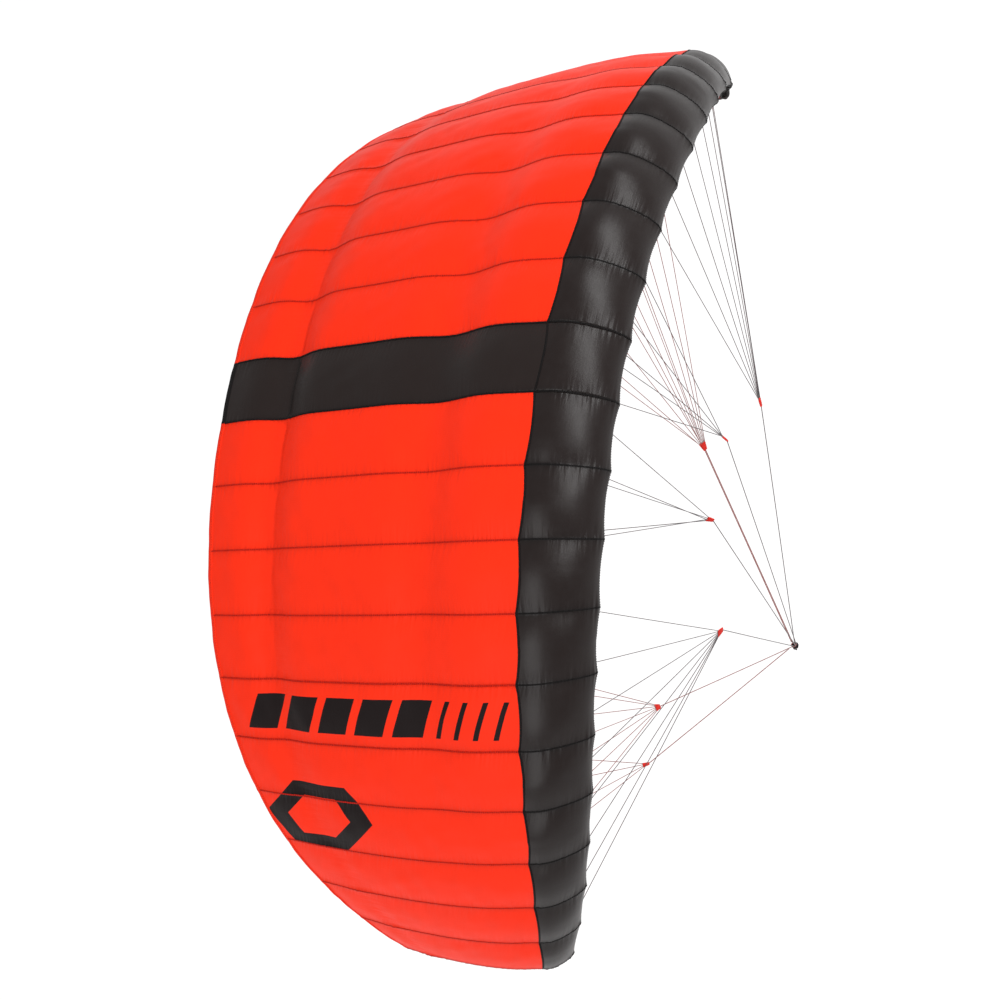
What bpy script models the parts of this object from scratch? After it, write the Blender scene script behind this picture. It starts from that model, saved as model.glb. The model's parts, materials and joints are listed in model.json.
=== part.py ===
"""Ram-air foil kite: two skins, leading-edge band, ribs, trailing-edge flaps and a cascaded bridle.

Frame: origin at the tow point, X along the span, Y along the chord (leading edge at -Y), Z up towards
the canopy. The canopy is a circular arc in front view, and each half mirrors the other.
"""

import math

import bmesh
import bpy
from mathutils import Vector

# Canopy plan form
ROOT_CHORD = 1.23
TIP_TAPER = 0.57            # share of the chord lost at the tip
TAPER_POWER = 3.1
TIP_SWEEP = 0.22            # how far the tip's reference line lies behind the root's
REFERENCE = 0.35            # chord fraction of the reference line
REFERENCE_Y = -0.214        # its place at the root, from the tow point
# Front-view arc
ARC_RADIUS = 1.28
ARC_HALF_ANGLE = math.radians(73.0)
CANOPY_HEIGHT = 2.0         # tow point to the centre cell's chord line
# Cells
HALF_CELLS = 10             # cells on each side of the centre cell
CENTRE_CELL = 0.1688
CELL_NARROWING = 0.218      # share of the width lost by the last cell
# Aerofoil
TOP_THICKNESS = 0.206
BELLY_RATIO = 0.40
NOSE_FULLNESS = 0.20        # extra height of the rounded nose, as a share of the plain foil's
NOSE_MIDDLE = 0.08
NOSE_WIDTH = 0.06
# Dips of the top skin over the second line row, the middle and the crease: (middle, width, depth)
DIPS = ((0.39, 0.09, 0.028), (0.60, 0.22, 0.022), (0.83, 0.055, 0.024))
DIP_SPAN = 0.78             # share of the half span over which the dips fade out
BAND_END = 0.139            # rear edge of the leading-edge band on the top skin
LIP_TOP = 0.004             # upper lip of the air inlets, on the belly side
LIP_BOTTOM = 0.050          # lower lip
CREASE = 0.815              # chord fraction where the trailing flaps bend
REAR_EDGE = 0.985           # chord fraction where the fixed skins meet the rear hem
SEAM_STEP = 0.002           # gap between sheets along the aerofoil, in its own parameter
RIB_CUT = 0.79              # ribs behind a flap stop here
RIB_INSET = 0.0018          # rib edge to the skin's inner face
CROSSPORTS = ((0.17, 0.26), (0.36, 0.27), (0.56, 0.25))     # (chord fraction, share of the rib's height)
PORT_WIDTH = 1.3            # a crossport's width over its height
# Sheets and gaps
SKIN = 0.0010
GAP = 0.0003
# Trailing flaps
FLAP_FIRST_RIB = 4
FLAP_SIDE_GAP = 0.034       # room that the flap's slanting swing needs beside the inner cells
FLAP_START = CREASE + 0.006
# Bridle
LINE_RADIUS = 0.0010
MAIN_RADIUS = 0.00125
LINE_PITCH = 0.0026
SLEEVE_LENGTH = 0.024
SLEEVE_THICKNESS = 0.006
FAN_NODES = {
    "front_inner": (0.113, -0.492, 1.286),
    "front_outer": (0.325, -0.408, 1.022),
    "rear": (0.385, 0.035, 0.592),
    "brake": (0.478, 0.190, 0.370),
}
# Attachments as (rib, chord fraction)
FAN_TIES = {
    "front_inner": [(0, 0.10), (1, 0.10), (2, 0.10), (0, 0.41), (2, 0.41)],
    "front_outer": [(3, 0.10), (4, 0.10), (5, 0.10), (6, 0.10), (7, 0.10), (8, 0.10), (9, 0.10), (10, 0.10)],
    "rear": [(4, 0.41), (5, 0.41), (6, 0.41), (7, 0.41), (8, 0.41), (9, 0.41), (3, 0.76)],
    "brake": [(5, 0.985), (7, 0.985), (9, 0.985), (10, 0.97)],
}
TIE_GAP = 0.0015            # line's end to the belly skin
BRAKE_TIE_GAP = 0.026       # room for the flap's swing
# Tow point
TAB_SIZE = (0.012, 0.016, 0.010)
MAIN_ENDS = {
    "front_inner": (0.0030, -0.0055),
    "front_outer": (0.0034, -0.0005),
    "rear": (0.0040, 0.0045),
}
BRAKE_END = (0.0100, 0.0125, 0.0090)
BRAKE_STAGGER = 0.0040      # the left brake line passes this far behind the right one
STUB_RADIUS = 0.0015
STUB_LENGTH = 0.0050
STUB_Z = 0.0050
RING_RADIUS = 0.0050        # pigtail loop, to the middle of its cord
RING_CORD = 0.0012
RING_DROP = 0.0020          # loop's centre below the stub's axis

SIDES = {"right": 1.0, "left": -1.0}


def clear_scene():
    for obj in list(bpy.data.objects):
        bpy.data.objects.remove(obj, do_unlink=True)


def make_material(name, color, roughness):
    material = bpy.data.materials.new(name)
    material.use_nodes = True
    shader = material.node_tree.nodes["Principled BSDF"]
    shader.inputs["Base Color"].default_value = (*color, 1.0)
    shader.inputs["Roughness"].default_value = roughness
    shader.inputs["Metallic"].default_value = 0.0
    return material


# The canopy's shape ----------------------------------------------------------------------------------

def rib_stations():
    """Arc length from the centre plane to each rib."""
    stations = [CENTRE_CELL / 2]
    for cell in range(1, HALF_CELLS + 1):
        width = CENTRE_CELL * (1 - CELL_NARROWING * (cell / HALF_CELLS) ** 2)
        stations.append(stations[-1] + width)
    return stations


STATIONS = rib_stations()
HALF_SPAN = STATIONS[-1]


def chord(station):
    return ROOT_CHORD * (1 - TIP_TAPER * abs(station / HALF_SPAN) ** TAPER_POWER)


def foil(x):
    """Height of a plain aerofoil over the chord line, as a share of the chord."""
    shape = 0.2969 * math.sqrt(x) - 0.1260 * x - 0.3516 * x**2 + 0.2843 * x**3 - 0.1036 * x**4
    return TOP_THICKNESS / 0.2 * shape


def bump(x, middle, width):
    return math.exp(-((x - middle) / width) ** 2)


def top_height(x, station):
    """Height of the top skin: fuller than the foil at the nose, and dipped towards the centre plane."""
    fade = max(0.0, 1 - (station / HALF_SPAN / DIP_SPAN) ** 2)
    dip = sum(depth * bump(x, middle, width) for middle, width, depth in DIPS)
    return foil(x) * (1 + NOSE_FULLNESS * bump(x, NOSE_MIDDLE, NOSE_WIDTH)) - fade * dip


def section(station, t):
    """(chord fraction, height) of the aerofoil: t runs from -1 at the belly's rear edge to 1 on top."""
    x = t * t
    if t >= 0:
        return x, top_height(x, station)
    return x, -BELLY_RATIO * foil(x) * (1 - x)


def top_at(x):
    return math.sqrt(x)


def belly_at(x):
    return -math.sqrt(x)


def section_offset(station, t, offset):
    """Aerofoil point in metres, moved outwards by offset."""
    step = 1e-3
    low = section(station, max(-1.0, t - step))
    high = section(station, min(1.0, t + step))
    along = (high[0] - low[0], high[1] - low[1])
    length = math.hypot(*along)
    x, z = section(station, t)
    size = chord(station)
    return x * size - along[1] / length * offset, z * size + along[0] / length * offset


def place(station, x_m, z_m):
    """Point at a signed arc length; x_m is measured from the leading edge, z_m outwards."""
    angle = station / ARC_RADIUS
    out = Vector((math.sin(angle), 0.0, math.cos(angle)))
    share = station / HALF_SPAN
    y = REFERENCE_Y + TIP_SWEEP * share**2 + x_m - REFERENCE * chord(station)
    base = Vector((0.0, y, CANOPY_HEIGHT - ARC_RADIUS))
    return base + out * (ARC_RADIUS + z_m)


def surface(station, t, offset=0.0):
    return place(station, *section_offset(station, t, offset))


def spread(first, last, count):
    return [first + (last - first) * i / count for i in range(count + 1)]


# Stops along the aerofoil that each sheet's mesh and the ribs share, as values of t
TOP_FRONT = spread(top_at(BAND_END) + SEAM_STEP, top_at(CREASE), 10)
TOP_REAR = spread(top_at(CREASE), top_at(REAR_EDGE), 4)
BELLY_FRONT = spread(belly_at(CREASE), belly_at(LIP_BOTTOM), 6)
BELLY_REAR = spread(belly_at(REAR_EDGE), belly_at(CREASE), 2)
BAND = spread(belly_at(LIP_TOP), top_at(BAND_END), 8)
INLET = spread(belly_at(LIP_BOTTOM) + SEAM_STEP, belly_at(LIP_TOP) - SEAM_STEP, 2)


# Mesh helpers ----------------------------------------------------------------------------------------

def new_object(name, bm, material, origin=None, smooth=True):
    bmesh.ops.recalc_face_normals(bm, faces=bm.faces)
    if origin is not None:
        bmesh.ops.translate(bm, verts=bm.verts, vec=-origin)
    mesh = bpy.data.meshes.new(name)
    bm.to_mesh(mesh)
    bm.free()
    mesh.materials.append(material)
    if smooth:
        mesh.shade_smooth()
        mesh.set_sharp_from_angle(angle=math.radians(40))
    obj = bpy.data.objects.new(name, mesh)
    bpy.context.scene.collection.objects.link(obj)
    if origin is not None:
        obj.location = origin
    return obj


def skin(name, stations, params, material):
    """Closed sheet over the aerofoil between the first and last station and parameter."""
    bm = bmesh.new()
    layers = []
    for offset in (GAP, GAP + SKIN):
        layers.append([[bm.verts.new(surface(s, t, offset)) for t in params] for s in stations])
    low, high = layers
    rows, columns = len(stations) - 1, len(params) - 1
    for i in range(rows):
        for j in range(columns):
            bm.faces.new((low[i][j], low[i][j + 1], low[i + 1][j + 1], low[i + 1][j]))
            bm.faces.new((high[i][j], high[i + 1][j], high[i + 1][j + 1], high[i][j + 1]))
    for i in range(rows):
        for j in (0, columns):
            bm.faces.new((low[i][j], low[i + 1][j], high[i + 1][j], high[i][j]))
    for j in range(columns):
        for i in (0, rows):
            bm.faces.new((low[i][j], low[i][j + 1], high[i][j + 1], high[i][j]))
    return new_object(name, bm, material)


def group_stations(side, first, last, start_gap=GAP):
    """Signed stations of the ribs first to last, kept clear of the neighbouring group."""
    stations = STATIONS[first:last + 1]
    stations[0] += start_gap
    stations[-1] -= GAP
    return [side * s for s in stations]


def loop_edges(bm, points):
    verts = [bm.verts.new(p) for p in points]
    return [bm.edges.new((verts[i], verts[(i + 1) % len(verts)])) for i in range(len(verts))]


def tube(bm, ring, end, radius):
    """Carries an open ring of vertices to a straight line's end, and caps it."""
    count = len(ring)
    centre = sum((v.co for v in ring), Vector()) / count
    direction = (end - centre).normalized()
    turn = Vector((0, 0, 1)).rotation_difference(direction)
    first = turn @ Vector((1, 0, 0))
    second = turn @ Vector((0, 1, 0))
    # The far ring starts at the vertex that faces the near ring's first one
    lead = (ring[0].co - centre).normalized()
    start = math.atan2(lead.dot(second), lead.dot(first))
    lead = (ring[1].co - centre).normalized()
    turned = math.atan2(lead.dot(second), lead.dot(first)) - start
    sense = 1.0 if math.sin(turned) > 0 else -1.0
    far = []
    for k in range(count):
        a = start + sense * 2 * math.pi * k / count
        far.append(bm.verts.new(end + (first * math.cos(a) + second * math.sin(a)) * radius))
    for k in range(count):
        bm.faces.new((ring[k], ring[(k + 1) % count], far[(k + 1) % count], far[k]))
    bm.faces.new(far)


# Canopy pieces ---------------------------------------------------------------------------------------

def make_rib(name, side, index, material):
    """Flat rib just inside the skins, with three crossport holes; the tip's rib closes the canopy."""
    station = side * STATIONS[index]
    size = chord(station)
    rear = REAR_EDGE - 0.02 if index <= FLAP_FIRST_RIB else RIB_CUT
    edge = math.sqrt(rear)
    stops = BELLY_REAR + BELLY_FRONT[1:] + INLET[1:-1] + BAND + TOP_FRONT[1:] + TOP_REAR[1:]
    stops = [-edge] + [t for t in stops if abs(t) < edge - SEAM_STEP] + [edge]
    outline = [section_offset(station, t, -RIB_INSET) for t in stops]
    bm = bmesh.new()
    edges = loop_edges(bm, [place(station, *p) for p in outline])
    ports = CROSSPORTS if index < HALF_CELLS else ()
    for x, share in ports:
        top = section(station, top_at(x))[1]
        low = section(station, belly_at(x))[1]
        middle = (top + low) / 2
        radius = share * (top - low)
        ring = []
        for k in range(8):
            a = 2 * math.pi * k / 8
            across = x + radius * PORT_WIDTH * math.cos(a)
            ring.append((across * size, (middle + radius * math.sin(a)) * size))
        edges += loop_edges(bm, [place(station, *p) for p in ring])
    bmesh.ops.triangle_fill(bm, use_beauty=True, edges=edges)
    angle = station / ARC_RADIUS
    along = Vector((math.cos(angle), 0.0, -math.sin(angle)))
    made = bmesh.ops.extrude_face_region(bm, geom=bm.faces[:])
    lifted = [v for v in made["geom"] if isinstance(v, bmesh.types.BMVert)]
    bmesh.ops.translate(bm, verts=lifted, vec=along * SKIN)
    bmesh.ops.translate(bm, verts=bm.verts, vec=-along * SKIN / 2)
    return new_object(name, bm, material, smooth=False)


def make_canopy(materials):
    top = TOP_FRONT + TOP_REAR[1:]
    belly = BELLY_REAR + BELLY_FRONT[1:]
    centre = [-STATIONS[0] + GAP, 0.0, STATIONS[0] - GAP]

    skin("centre_stripe", centre, top, materials["black"])
    skin("centre_nose_band", centre, BAND, materials["black"])
    skin("centre_belly", centre, belly, materials["red"])
    for word, side in SIDES.items():
        inner = group_stations(side, 0, FLAP_FIRST_RIB)
        outer = group_stations(side, FLAP_FIRST_RIB, HALF_CELLS)
        skin(f"top_skin_inner_{word}", inner, top, materials["red"])
        skin(f"top_skin_outer_{word}", outer, TOP_FRONT, materials["red"])
        skin(f"nose_band_inner_{word}", inner, BAND, materials["black"])
        skin(f"nose_band_outer_{word}", outer, BAND, materials["black"])
        skin(f"belly_skin_inner_{word}", inner, belly, materials["red"])
        skin(f"belly_skin_outer_{word}", outer, BELLY_FRONT, materials["red"])
        stations = [side * s for s in [GAP] + STATIONS[:-1] + [STATIONS[-1] - GAP]]
        skin(f"inlet_mesh_{word}", stations, INLET, materials["mesh"])
        for index in range(HALF_CELLS + 1):
            make_rib(f"rib_{word}_{index:02d}", side, index, materials["rib"])


def flap_hinge(side):
    """A point on the flap's crease line and its axis; a positive turn pulls the rear edge down."""
    ends = [surface(side * STATIONS[i], belly_at(CREASE)) for i in (FLAP_FIRST_RIB, HALF_CELLS)]
    axis = (ends[0] - ends[1]) * side
    return ends[0], axis.normalized()


def make_flap(word, side, material):
    """Both skins of the trailing edge behind the crease, joined along the rear hem."""
    stations = group_stations(side, FLAP_FIRST_RIB, HALF_CELLS, FLAP_SIDE_GAP)
    x_values = spread(FLAP_START, 0.992, 4)
    outer = [math.sqrt(x) for x in x_values]
    bm = bmesh.new()
    rings = []
    for s in stations:
        top = [section_offset(s, t, GAP + SKIN) for t in outer]
        low = [section_offset(s, -t, GAP + SKIN) for t in reversed(outer)]
        inside_low = [section_offset(s, -t, GAP) for t in outer[:-1]]
        inside_top = [section_offset(s, t, GAP) for t in reversed(outer[:-1])]
        rings.append([bm.verts.new(place(s, *p)) for p in top + low + inside_low + inside_top])
    count = len(rings[0])
    for a, b in zip(rings, rings[1:]):
        for k in range(count):
            bm.faces.new((a[k], a[(k + 1) % count], b[(k + 1) % count], b[k]))
    for ring in (rings[0], rings[-1]):
        half = len(outer)
        for k in range(half - 1):
            top_quad = (ring[k], ring[k + 1], ring[count - 2 - k], ring[count - 1 - k])
            lower = 2 * half
            low_quad = (ring[lower - 1 - k], ring[lower - 2 - k], ring[lower + 1 + k], ring[lower + k])
            if k < half - 2:
                bm.faces.new(top_quad)
                bm.faces.new(low_quad)
        # The closed corner at the hem
        inner_top = ring[count - 1 - (half - 2)]
        inner_low = ring[2 * half + half - 2]
        bm.faces.new((ring[half - 2], ring[half - 1], inner_top))
        bm.faces.new((ring[half + 1], ring[half], inner_low))
        bm.faces.new((ring[half - 1], ring[half], inner_low, inner_top))
    origin, _ = flap_hinge(side)
    return new_object(f"trailing_flap_{word}", bm, material, origin)


# Bridle ----------------------------------------------------------------------------------------------

def tie_point(side, rib, x, gap):
    return surface(side * STATIONS[rib], belly_at(x), GAP + SKIN + gap)


def mirrored(point, side):
    return Vector((point[0] * side, point[1], point[2]))


def fan_frame(node, ties):
    """Upward axis of a sleeve, and the direction in which its lines fan out."""
    middle = sum(ties, Vector()) / len(ties)
    up = (middle - node).normalized()
    widest = max(((b - a) for a in ties for b in ties), key=lambda v: v.length)
    across = (widest - up * widest.dot(up)).normalized()
    return up, across


def make_fan(name, node, ties, material):
    """Flat sewn sleeve with one line from its upper end to each tie."""
    up, across = fan_frame(node, ties)
    through = up.cross(across)
    ties = sorted(ties, key=lambda p: p.dot(across))
    width = LINE_PITCH * (len(ties) - 1) / 2 + 0.0022
    depth = SLEEVE_THICKNESS / 2
    top = node + up * SLEEVE_LENGTH / 2
    corners = [(-width, -depth), (width, -depth), (width, depth), (-width, depth)]
    bm = bmesh.new()
    outer = loop_edges(bm, [top + across * a + through * b for a, b in corners])
    upper = list(bm.verts)
    edges = list(outer)
    rings = []
    for i, tie in enumerate(ties):
        centre = top + across * (i - (len(ties) - 1) / 2) * LINE_PITCH
        points = []
        for k in range(8):
            a = 2 * math.pi * k / 8
            points.append(centre + (across * math.cos(a) + through * math.sin(a)) * LINE_RADIUS)
        before = len(bm.verts)
        edges += loop_edges(bm, points)
        bm.verts.ensure_lookup_table()
        rings.append(([bm.verts[before + k] for k in range(8)], tie))
    bmesh.ops.triangle_fill(bm, use_beauty=True, edges=edges)
    lower = [bm.verts.new(v.co - up * SLEEVE_LENGTH) for v in upper]
    for k in range(4):
        bm.faces.new((upper[k], upper[(k + 1) % 4], lower[(k + 1) % 4], lower[k]))
    bm.faces.new(lower)
    for ring, tie in rings:
        tube(bm, ring, tie, LINE_RADIUS)
    return new_object(name, bm, material)


def make_line(name, start, end, radius, material):
    """Straight taut line as a capped curve."""
    curve = bpy.data.curves.new(name, "CURVE")
    curve.dimensions = "3D"
    curve.bevel_depth = radius
    curve.bevel_resolution = 2
    curve.use_fill_caps = True
    spline = curve.splines.new("POLY")
    spline.points.add(2)
    for i in range(3):
        spline.points[i].co = (*start.lerp(end, i / 2), 1.0)
    curve.materials.append(material)
    obj = bpy.data.objects.new(name, curve)
    bpy.context.scene.collection.objects.link(obj)
    return obj


def make_bridle(materials):
    for word, side in SIDES.items():
        for fan, place_at in FAN_NODES.items():
            node = mirrored(place_at, side)
            gap = BRAKE_TIE_GAP if fan == "brake" else TIE_GAP
            ties = [tie_point(side, rib, x, gap) for rib, x in FAN_TIES[fan]]
            color = materials["line_red"] if fan == "brake" else materials["line_grey"]
            make_fan(f"{fan}_fan_{word}", node, ties, color)
            up, _ = fan_frame(node, ties)
            if fan == "brake":
                stagger = BRAKE_STAGGER if side < 0 else 0.0
                end = mirrored(BRAKE_END, side) + Vector((0, stagger, 0))
            else:
                x, y = MAIN_ENDS[fan]
                end = Vector((side * x, y, TAB_SIZE[2] + 0.0008))
            start = node - up * (SLEEVE_LENGTH / 2 + GAP + MAIN_RADIUS)
            make_line(f"{fan}_main_line_{word}", start, end, MAIN_RADIUS, color)


def make_tow_point(materials):
    """Sewn tow tab with a stub on each side, and the pigtail loop that hangs on each stub."""
    half = [v / 2 for v in TAB_SIZE]
    bm = bmesh.new()
    bmesh.ops.create_cube(bm, size=1.0)
    bmesh.ops.scale(bm, verts=bm.verts, vec=TAB_SIZE)
    bmesh.ops.translate(bm, verts=bm.verts, vec=(0, 0, half[2]))
    bmesh.ops.bevel(bm, geom=bm.edges[:], offset=0.0012, segments=2, affect="EDGES", profile=0.5)
    tab = new_object("tow_tab", bm, materials["webbing"])
    for side in SIDES.values():
        bm = bmesh.new()
        bmesh.ops.create_cone(bm, cap_ends=True, segments=12, radius1=STUB_RADIUS, radius2=STUB_RADIUS,
                              depth=STUB_LENGTH + 0.002)
        turn = Vector((0, 0, 1)).rotation_difference(Vector((1, 0, 0))).to_matrix()
        bmesh.ops.rotate(bm, verts=bm.verts, matrix=turn)
        middle = side * (half[0] + STUB_LENGTH / 2 - 0.001)
        bmesh.ops.translate(bm, verts=bm.verts, vec=(middle, 0, STUB_Z))
        stub = new_object(f"stub_guide_{side:+.0f}", bm, materials["webbing"])
        stub.hide_render = True
        stub.display_type = "WIRE"
        join = tab.modifiers.new("stub", "BOOLEAN")
        join.operation = "UNION"
        join.solver = "EXACT"
        join.object = stub
    for word, side in SIDES.items():
        pivot = Vector((side * (half[0] + STUB_LENGTH / 2), 0, STUB_Z))
        bm = bmesh.new()
        grid = []
        for i in range(14):
            a = 2 * math.pi * i / 14
            row = []
            for j in range(8):
                b = 2 * math.pi * j / 8
                reach = RING_RADIUS + RING_CORD * math.cos(b)
                point = (RING_CORD * math.sin(b), reach * math.cos(a), reach * math.sin(a) - RING_DROP)
                row.append(bm.verts.new(point))
            grid.append(row)
        for i in range(14):
            for j in range(8):
                k, m = (i + 1) % 14, (j + 1) % 8
                bm.faces.new((grid[i][j], grid[k][j], grid[k][m], grid[i][m]))
        ring = new_object(f"pigtail_loop_{word}", bm, materials["webbing"])
        ring.location = pivot


def main():
    clear_scene()
    materials = {
        "red": make_material("red_ripstop", (0.95, 0.05, 0.012), 0.42),
        "black": make_material("black_ripstop", (0.018, 0.014, 0.014), 0.45),
        "rib": make_material("white_rib_cloth", (0.75, 0.75, 0.74), 0.6),
        "mesh": make_material("inlet_mesh", (0.03, 0.03, 0.03), 0.8),
        "line_grey": make_material("grey_line", (0.12, 0.12, 0.12), 0.7),
        "line_red": make_material("red_line", (0.45, 0.05, 0.04), 0.7),
        "webbing": make_material("black_webbing", (0.02, 0.015, 0.018), 0.75),
    }
    make_canopy(materials)
    for word, side in SIDES.items():
        make_flap(word, side, materials["red"])
    make_bridle(materials)
    make_tow_point(materials)


main()
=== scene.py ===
"""Looks of a ram-air foil kite: puffed ripstop cells, felled seams, nose nets and a braided bridle.

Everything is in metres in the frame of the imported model: the origin is the tow point, X runs along the
span, Y along the chord with the leading edge at -Y, and Z up to the canopy. The cloth is laid over the
same arc and aerofoil as the model's skins, so a point on it is named by its station, which is the signed
arc length from the centre plane, and by t, which runs from -1 at the belly's rear edge through 0 at the
nose to 1 at the rear edge on top.
"""

import json
import math

import bpy
import numpy as np
from mathutils import Matrix, Vector


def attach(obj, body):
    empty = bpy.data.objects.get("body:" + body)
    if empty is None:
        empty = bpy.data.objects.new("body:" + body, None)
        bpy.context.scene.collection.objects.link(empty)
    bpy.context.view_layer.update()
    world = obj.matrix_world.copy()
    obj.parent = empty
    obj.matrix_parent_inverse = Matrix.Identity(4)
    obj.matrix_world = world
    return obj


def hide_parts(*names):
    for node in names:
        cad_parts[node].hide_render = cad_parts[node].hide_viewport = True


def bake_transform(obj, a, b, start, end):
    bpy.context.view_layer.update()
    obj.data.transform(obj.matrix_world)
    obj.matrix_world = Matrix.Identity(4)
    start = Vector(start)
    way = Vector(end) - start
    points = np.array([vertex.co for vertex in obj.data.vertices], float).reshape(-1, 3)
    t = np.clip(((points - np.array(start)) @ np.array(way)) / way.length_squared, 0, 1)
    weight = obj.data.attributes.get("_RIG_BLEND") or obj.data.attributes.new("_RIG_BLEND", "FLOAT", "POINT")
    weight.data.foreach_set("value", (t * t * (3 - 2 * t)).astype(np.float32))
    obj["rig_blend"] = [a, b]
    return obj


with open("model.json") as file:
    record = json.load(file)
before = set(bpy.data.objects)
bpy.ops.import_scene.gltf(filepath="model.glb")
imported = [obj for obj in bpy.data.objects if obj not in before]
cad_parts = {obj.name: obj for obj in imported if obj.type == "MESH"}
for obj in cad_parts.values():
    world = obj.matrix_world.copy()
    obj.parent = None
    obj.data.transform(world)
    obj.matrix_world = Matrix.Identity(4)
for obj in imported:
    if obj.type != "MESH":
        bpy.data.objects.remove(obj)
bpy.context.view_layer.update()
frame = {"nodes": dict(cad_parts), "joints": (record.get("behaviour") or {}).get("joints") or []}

bl_info = {
    "name": "Foil Kite Looks",
    "version": (1, 0, 0),
    "blender": (4, 5, 0),
    "location": "View3D > Sidebar > Kite",
    "description": "Builds the cloth, seams, nets and lines of a ram-air foil kite",
    "category": "Object",
}

SIDES = {"right": 1.0, "left": -1.0}

# Canopy plan form and front-view arc, as the model has them
ROOT_CHORD = 1.23
TIP_TAPER = 0.57
TAPER_POWER = 3.1
TIP_SWEEP = 0.22
REFERENCE = 0.35
REFERENCE_Y = -0.214
ARC_RADIUS = 1.28
CANOPY_HEIGHT = 2.0
HALF_CELLS = 10
CENTRE_CELL = 0.1688
CELL_NARROWING = 0.218
# Aerofoil
TOP_THICKNESS = 0.206
BELLY_RATIO = 0.40
NOSE_FULLNESS = 0.20
NOSE_MIDDLE = 0.08
NOSE_WIDTH = 0.06
DIPS = ((0.39, 0.09, 0.028), (0.60, 0.22, 0.022), (0.83, 0.055, 0.024))
DIP_SPAN = 0.78
BAND_END = 0.139
LIP_TOP = 0.004
LIP_BOTTOM = 0.050
CREASE = 0.818
SHEET_MIDDLE = 0.0008       # the model's skins lie this far outside the aerofoil
# Trailing flap: the rib where it starts, and where the cloth begins and ends its bend behind the hinge
FLAP_FIRST_RIB = 4
BEND_START = 0.020
BEND_END = 0.088
# Bridle, as the model has it
FAN_NODES = {
    "front_inner": (0.113, -0.492, 1.286),
    "front_outer": (0.325, -0.408, 1.022),
    "rear": (0.385, 0.035, 0.592),
    "brake": (0.478, 0.190, 0.370),
}
FAN_TIES = {
    "front_inner": [(0, 0.10), (1, 0.10), (2, 0.10), (0, 0.41), (2, 0.41)],
    "front_outer": [(rib, 0.10) for rib in range(3, 11)],
    "rear": [(rib, 0.41) for rib in range(4, 10)] + [(3, 0.76)],
    "brake": [(5, 0.985), (7, 0.985), (9, 0.985), (10, 0.97)],
}
MAIN_ENDS = {
    "front_inner": (0.0030, -0.0055),
    "front_outer": (0.0034, -0.0005),
    "rear": (0.0040, 0.0045),
}
BRAKE_END = (0.0100, 0.0125, 0.0090)
BRAKE_STAGGER = 0.0040
TIE_GAP = 0.0028            # line's end to the aerofoil
LINE_PITCH = 0.0026
SLEEVE_LENGTH = 0.024
TAB_SIZE = (0.012, 0.016, 0.010)


# Shape of the cloth ----------------------------------------------------------------------------------

def rib_stations():
    """Arc length from the centre plane to each rib."""
    stations = [CENTRE_CELL / 2]
    for cell in range(1, HALF_CELLS + 1):
        width = CENTRE_CELL * (1 - CELL_NARROWING * (cell / HALF_CELLS) ** 2)
        stations.append(stations[-1] + width)
    return np.array(stations)


STATIONS = rib_stations()
HALF_SPAN = STATIONS[-1]


def bump(x, middle, width):
    return np.exp(-(((x - middle) / width) ** 2))


def ramp(x, start, end):
    """Smooth step from 0 at start to 1 at end."""
    share = np.clip((x - start) / (end - start), 0.0, 1.0)
    return share * share * (3 - 2 * share)


def chord(station):
    return ROOT_CHORD * (1 - TIP_TAPER * np.abs(station / HALF_SPAN) ** TAPER_POWER)


def foil(x):
    shape = 0.2969 * np.sqrt(x) - 0.1260 * x - 0.3516 * x**2 + 0.2843 * x**3 - 0.1036 * x**4
    return TOP_THICKNESS / 0.2 * shape


def profile(station, t):
    """(chord fraction, height as a share of the chord) of the aerofoil."""
    x = t * t
    fade = np.maximum(0.0, 1 - (station / HALF_SPAN / DIP_SPAN) ** 2)
    dip = sum(depth * bump(x, middle, width) for middle, width, depth in DIPS)
    top = foil(x) * (1 + NOSE_FULLNESS * bump(x, NOSE_MIDDLE, NOSE_WIDTH)) - fade * dip
    return x, np.where(t >= 0, top, -BELLY_RATIO * foil(x) * (1 - x))


def lay(station, t, rise):
    """Points of the cloth, rise metres outside the aerofoil. The arguments are arrays of one shape."""
    station, t, rise = np.broadcast_arrays(station, t, rise)
    step = 1e-3
    low = profile(station, np.maximum(-1.0, t - step))
    high = profile(station, np.minimum(1.0, t + step))
    along_x, along_z = high[0] - low[0], high[1] - low[1]
    length = np.hypot(along_x, along_z)
    x, z = profile(station, t)
    size = chord(station)
    x_m = x * size - along_z / length * rise
    z_m = z * size + along_x / length * rise
    angle = station / ARC_RADIUS
    reach = ARC_RADIUS + z_m
    y = REFERENCE_Y + TIP_SWEEP * (station / HALF_SPAN) ** 2 + x_m - REFERENCE * size
    return np.stack([np.sin(angle) * reach, y, CANOPY_HEIGHT - ARC_RADIUS + np.cos(angle) * reach], -1)


def lay_one(station, t, rise):
    return Vector(lay(np.array(station), np.array(t), np.array(rise)))


def arc_table():
    """Length along a plain aerofoil of unit chord at each t, counted from the nose."""
    t = np.linspace(-1.0, 1.0, 1201)
    x, z = profile(np.full_like(t, HALF_SPAN), t)
    length = np.concatenate([[0.0], np.cumsum(np.hypot(np.diff(x), np.diff(z)))])
    return t, length - np.interp(0.0, t, length)


ARC_T, ARC_LENGTH = arc_table()


def along_chord(station, t):
    """Metres along the cloth from the nose, negative on the belly."""
    return np.interp(t, ARC_T, ARC_LENGTH) * chord(station)


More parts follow.
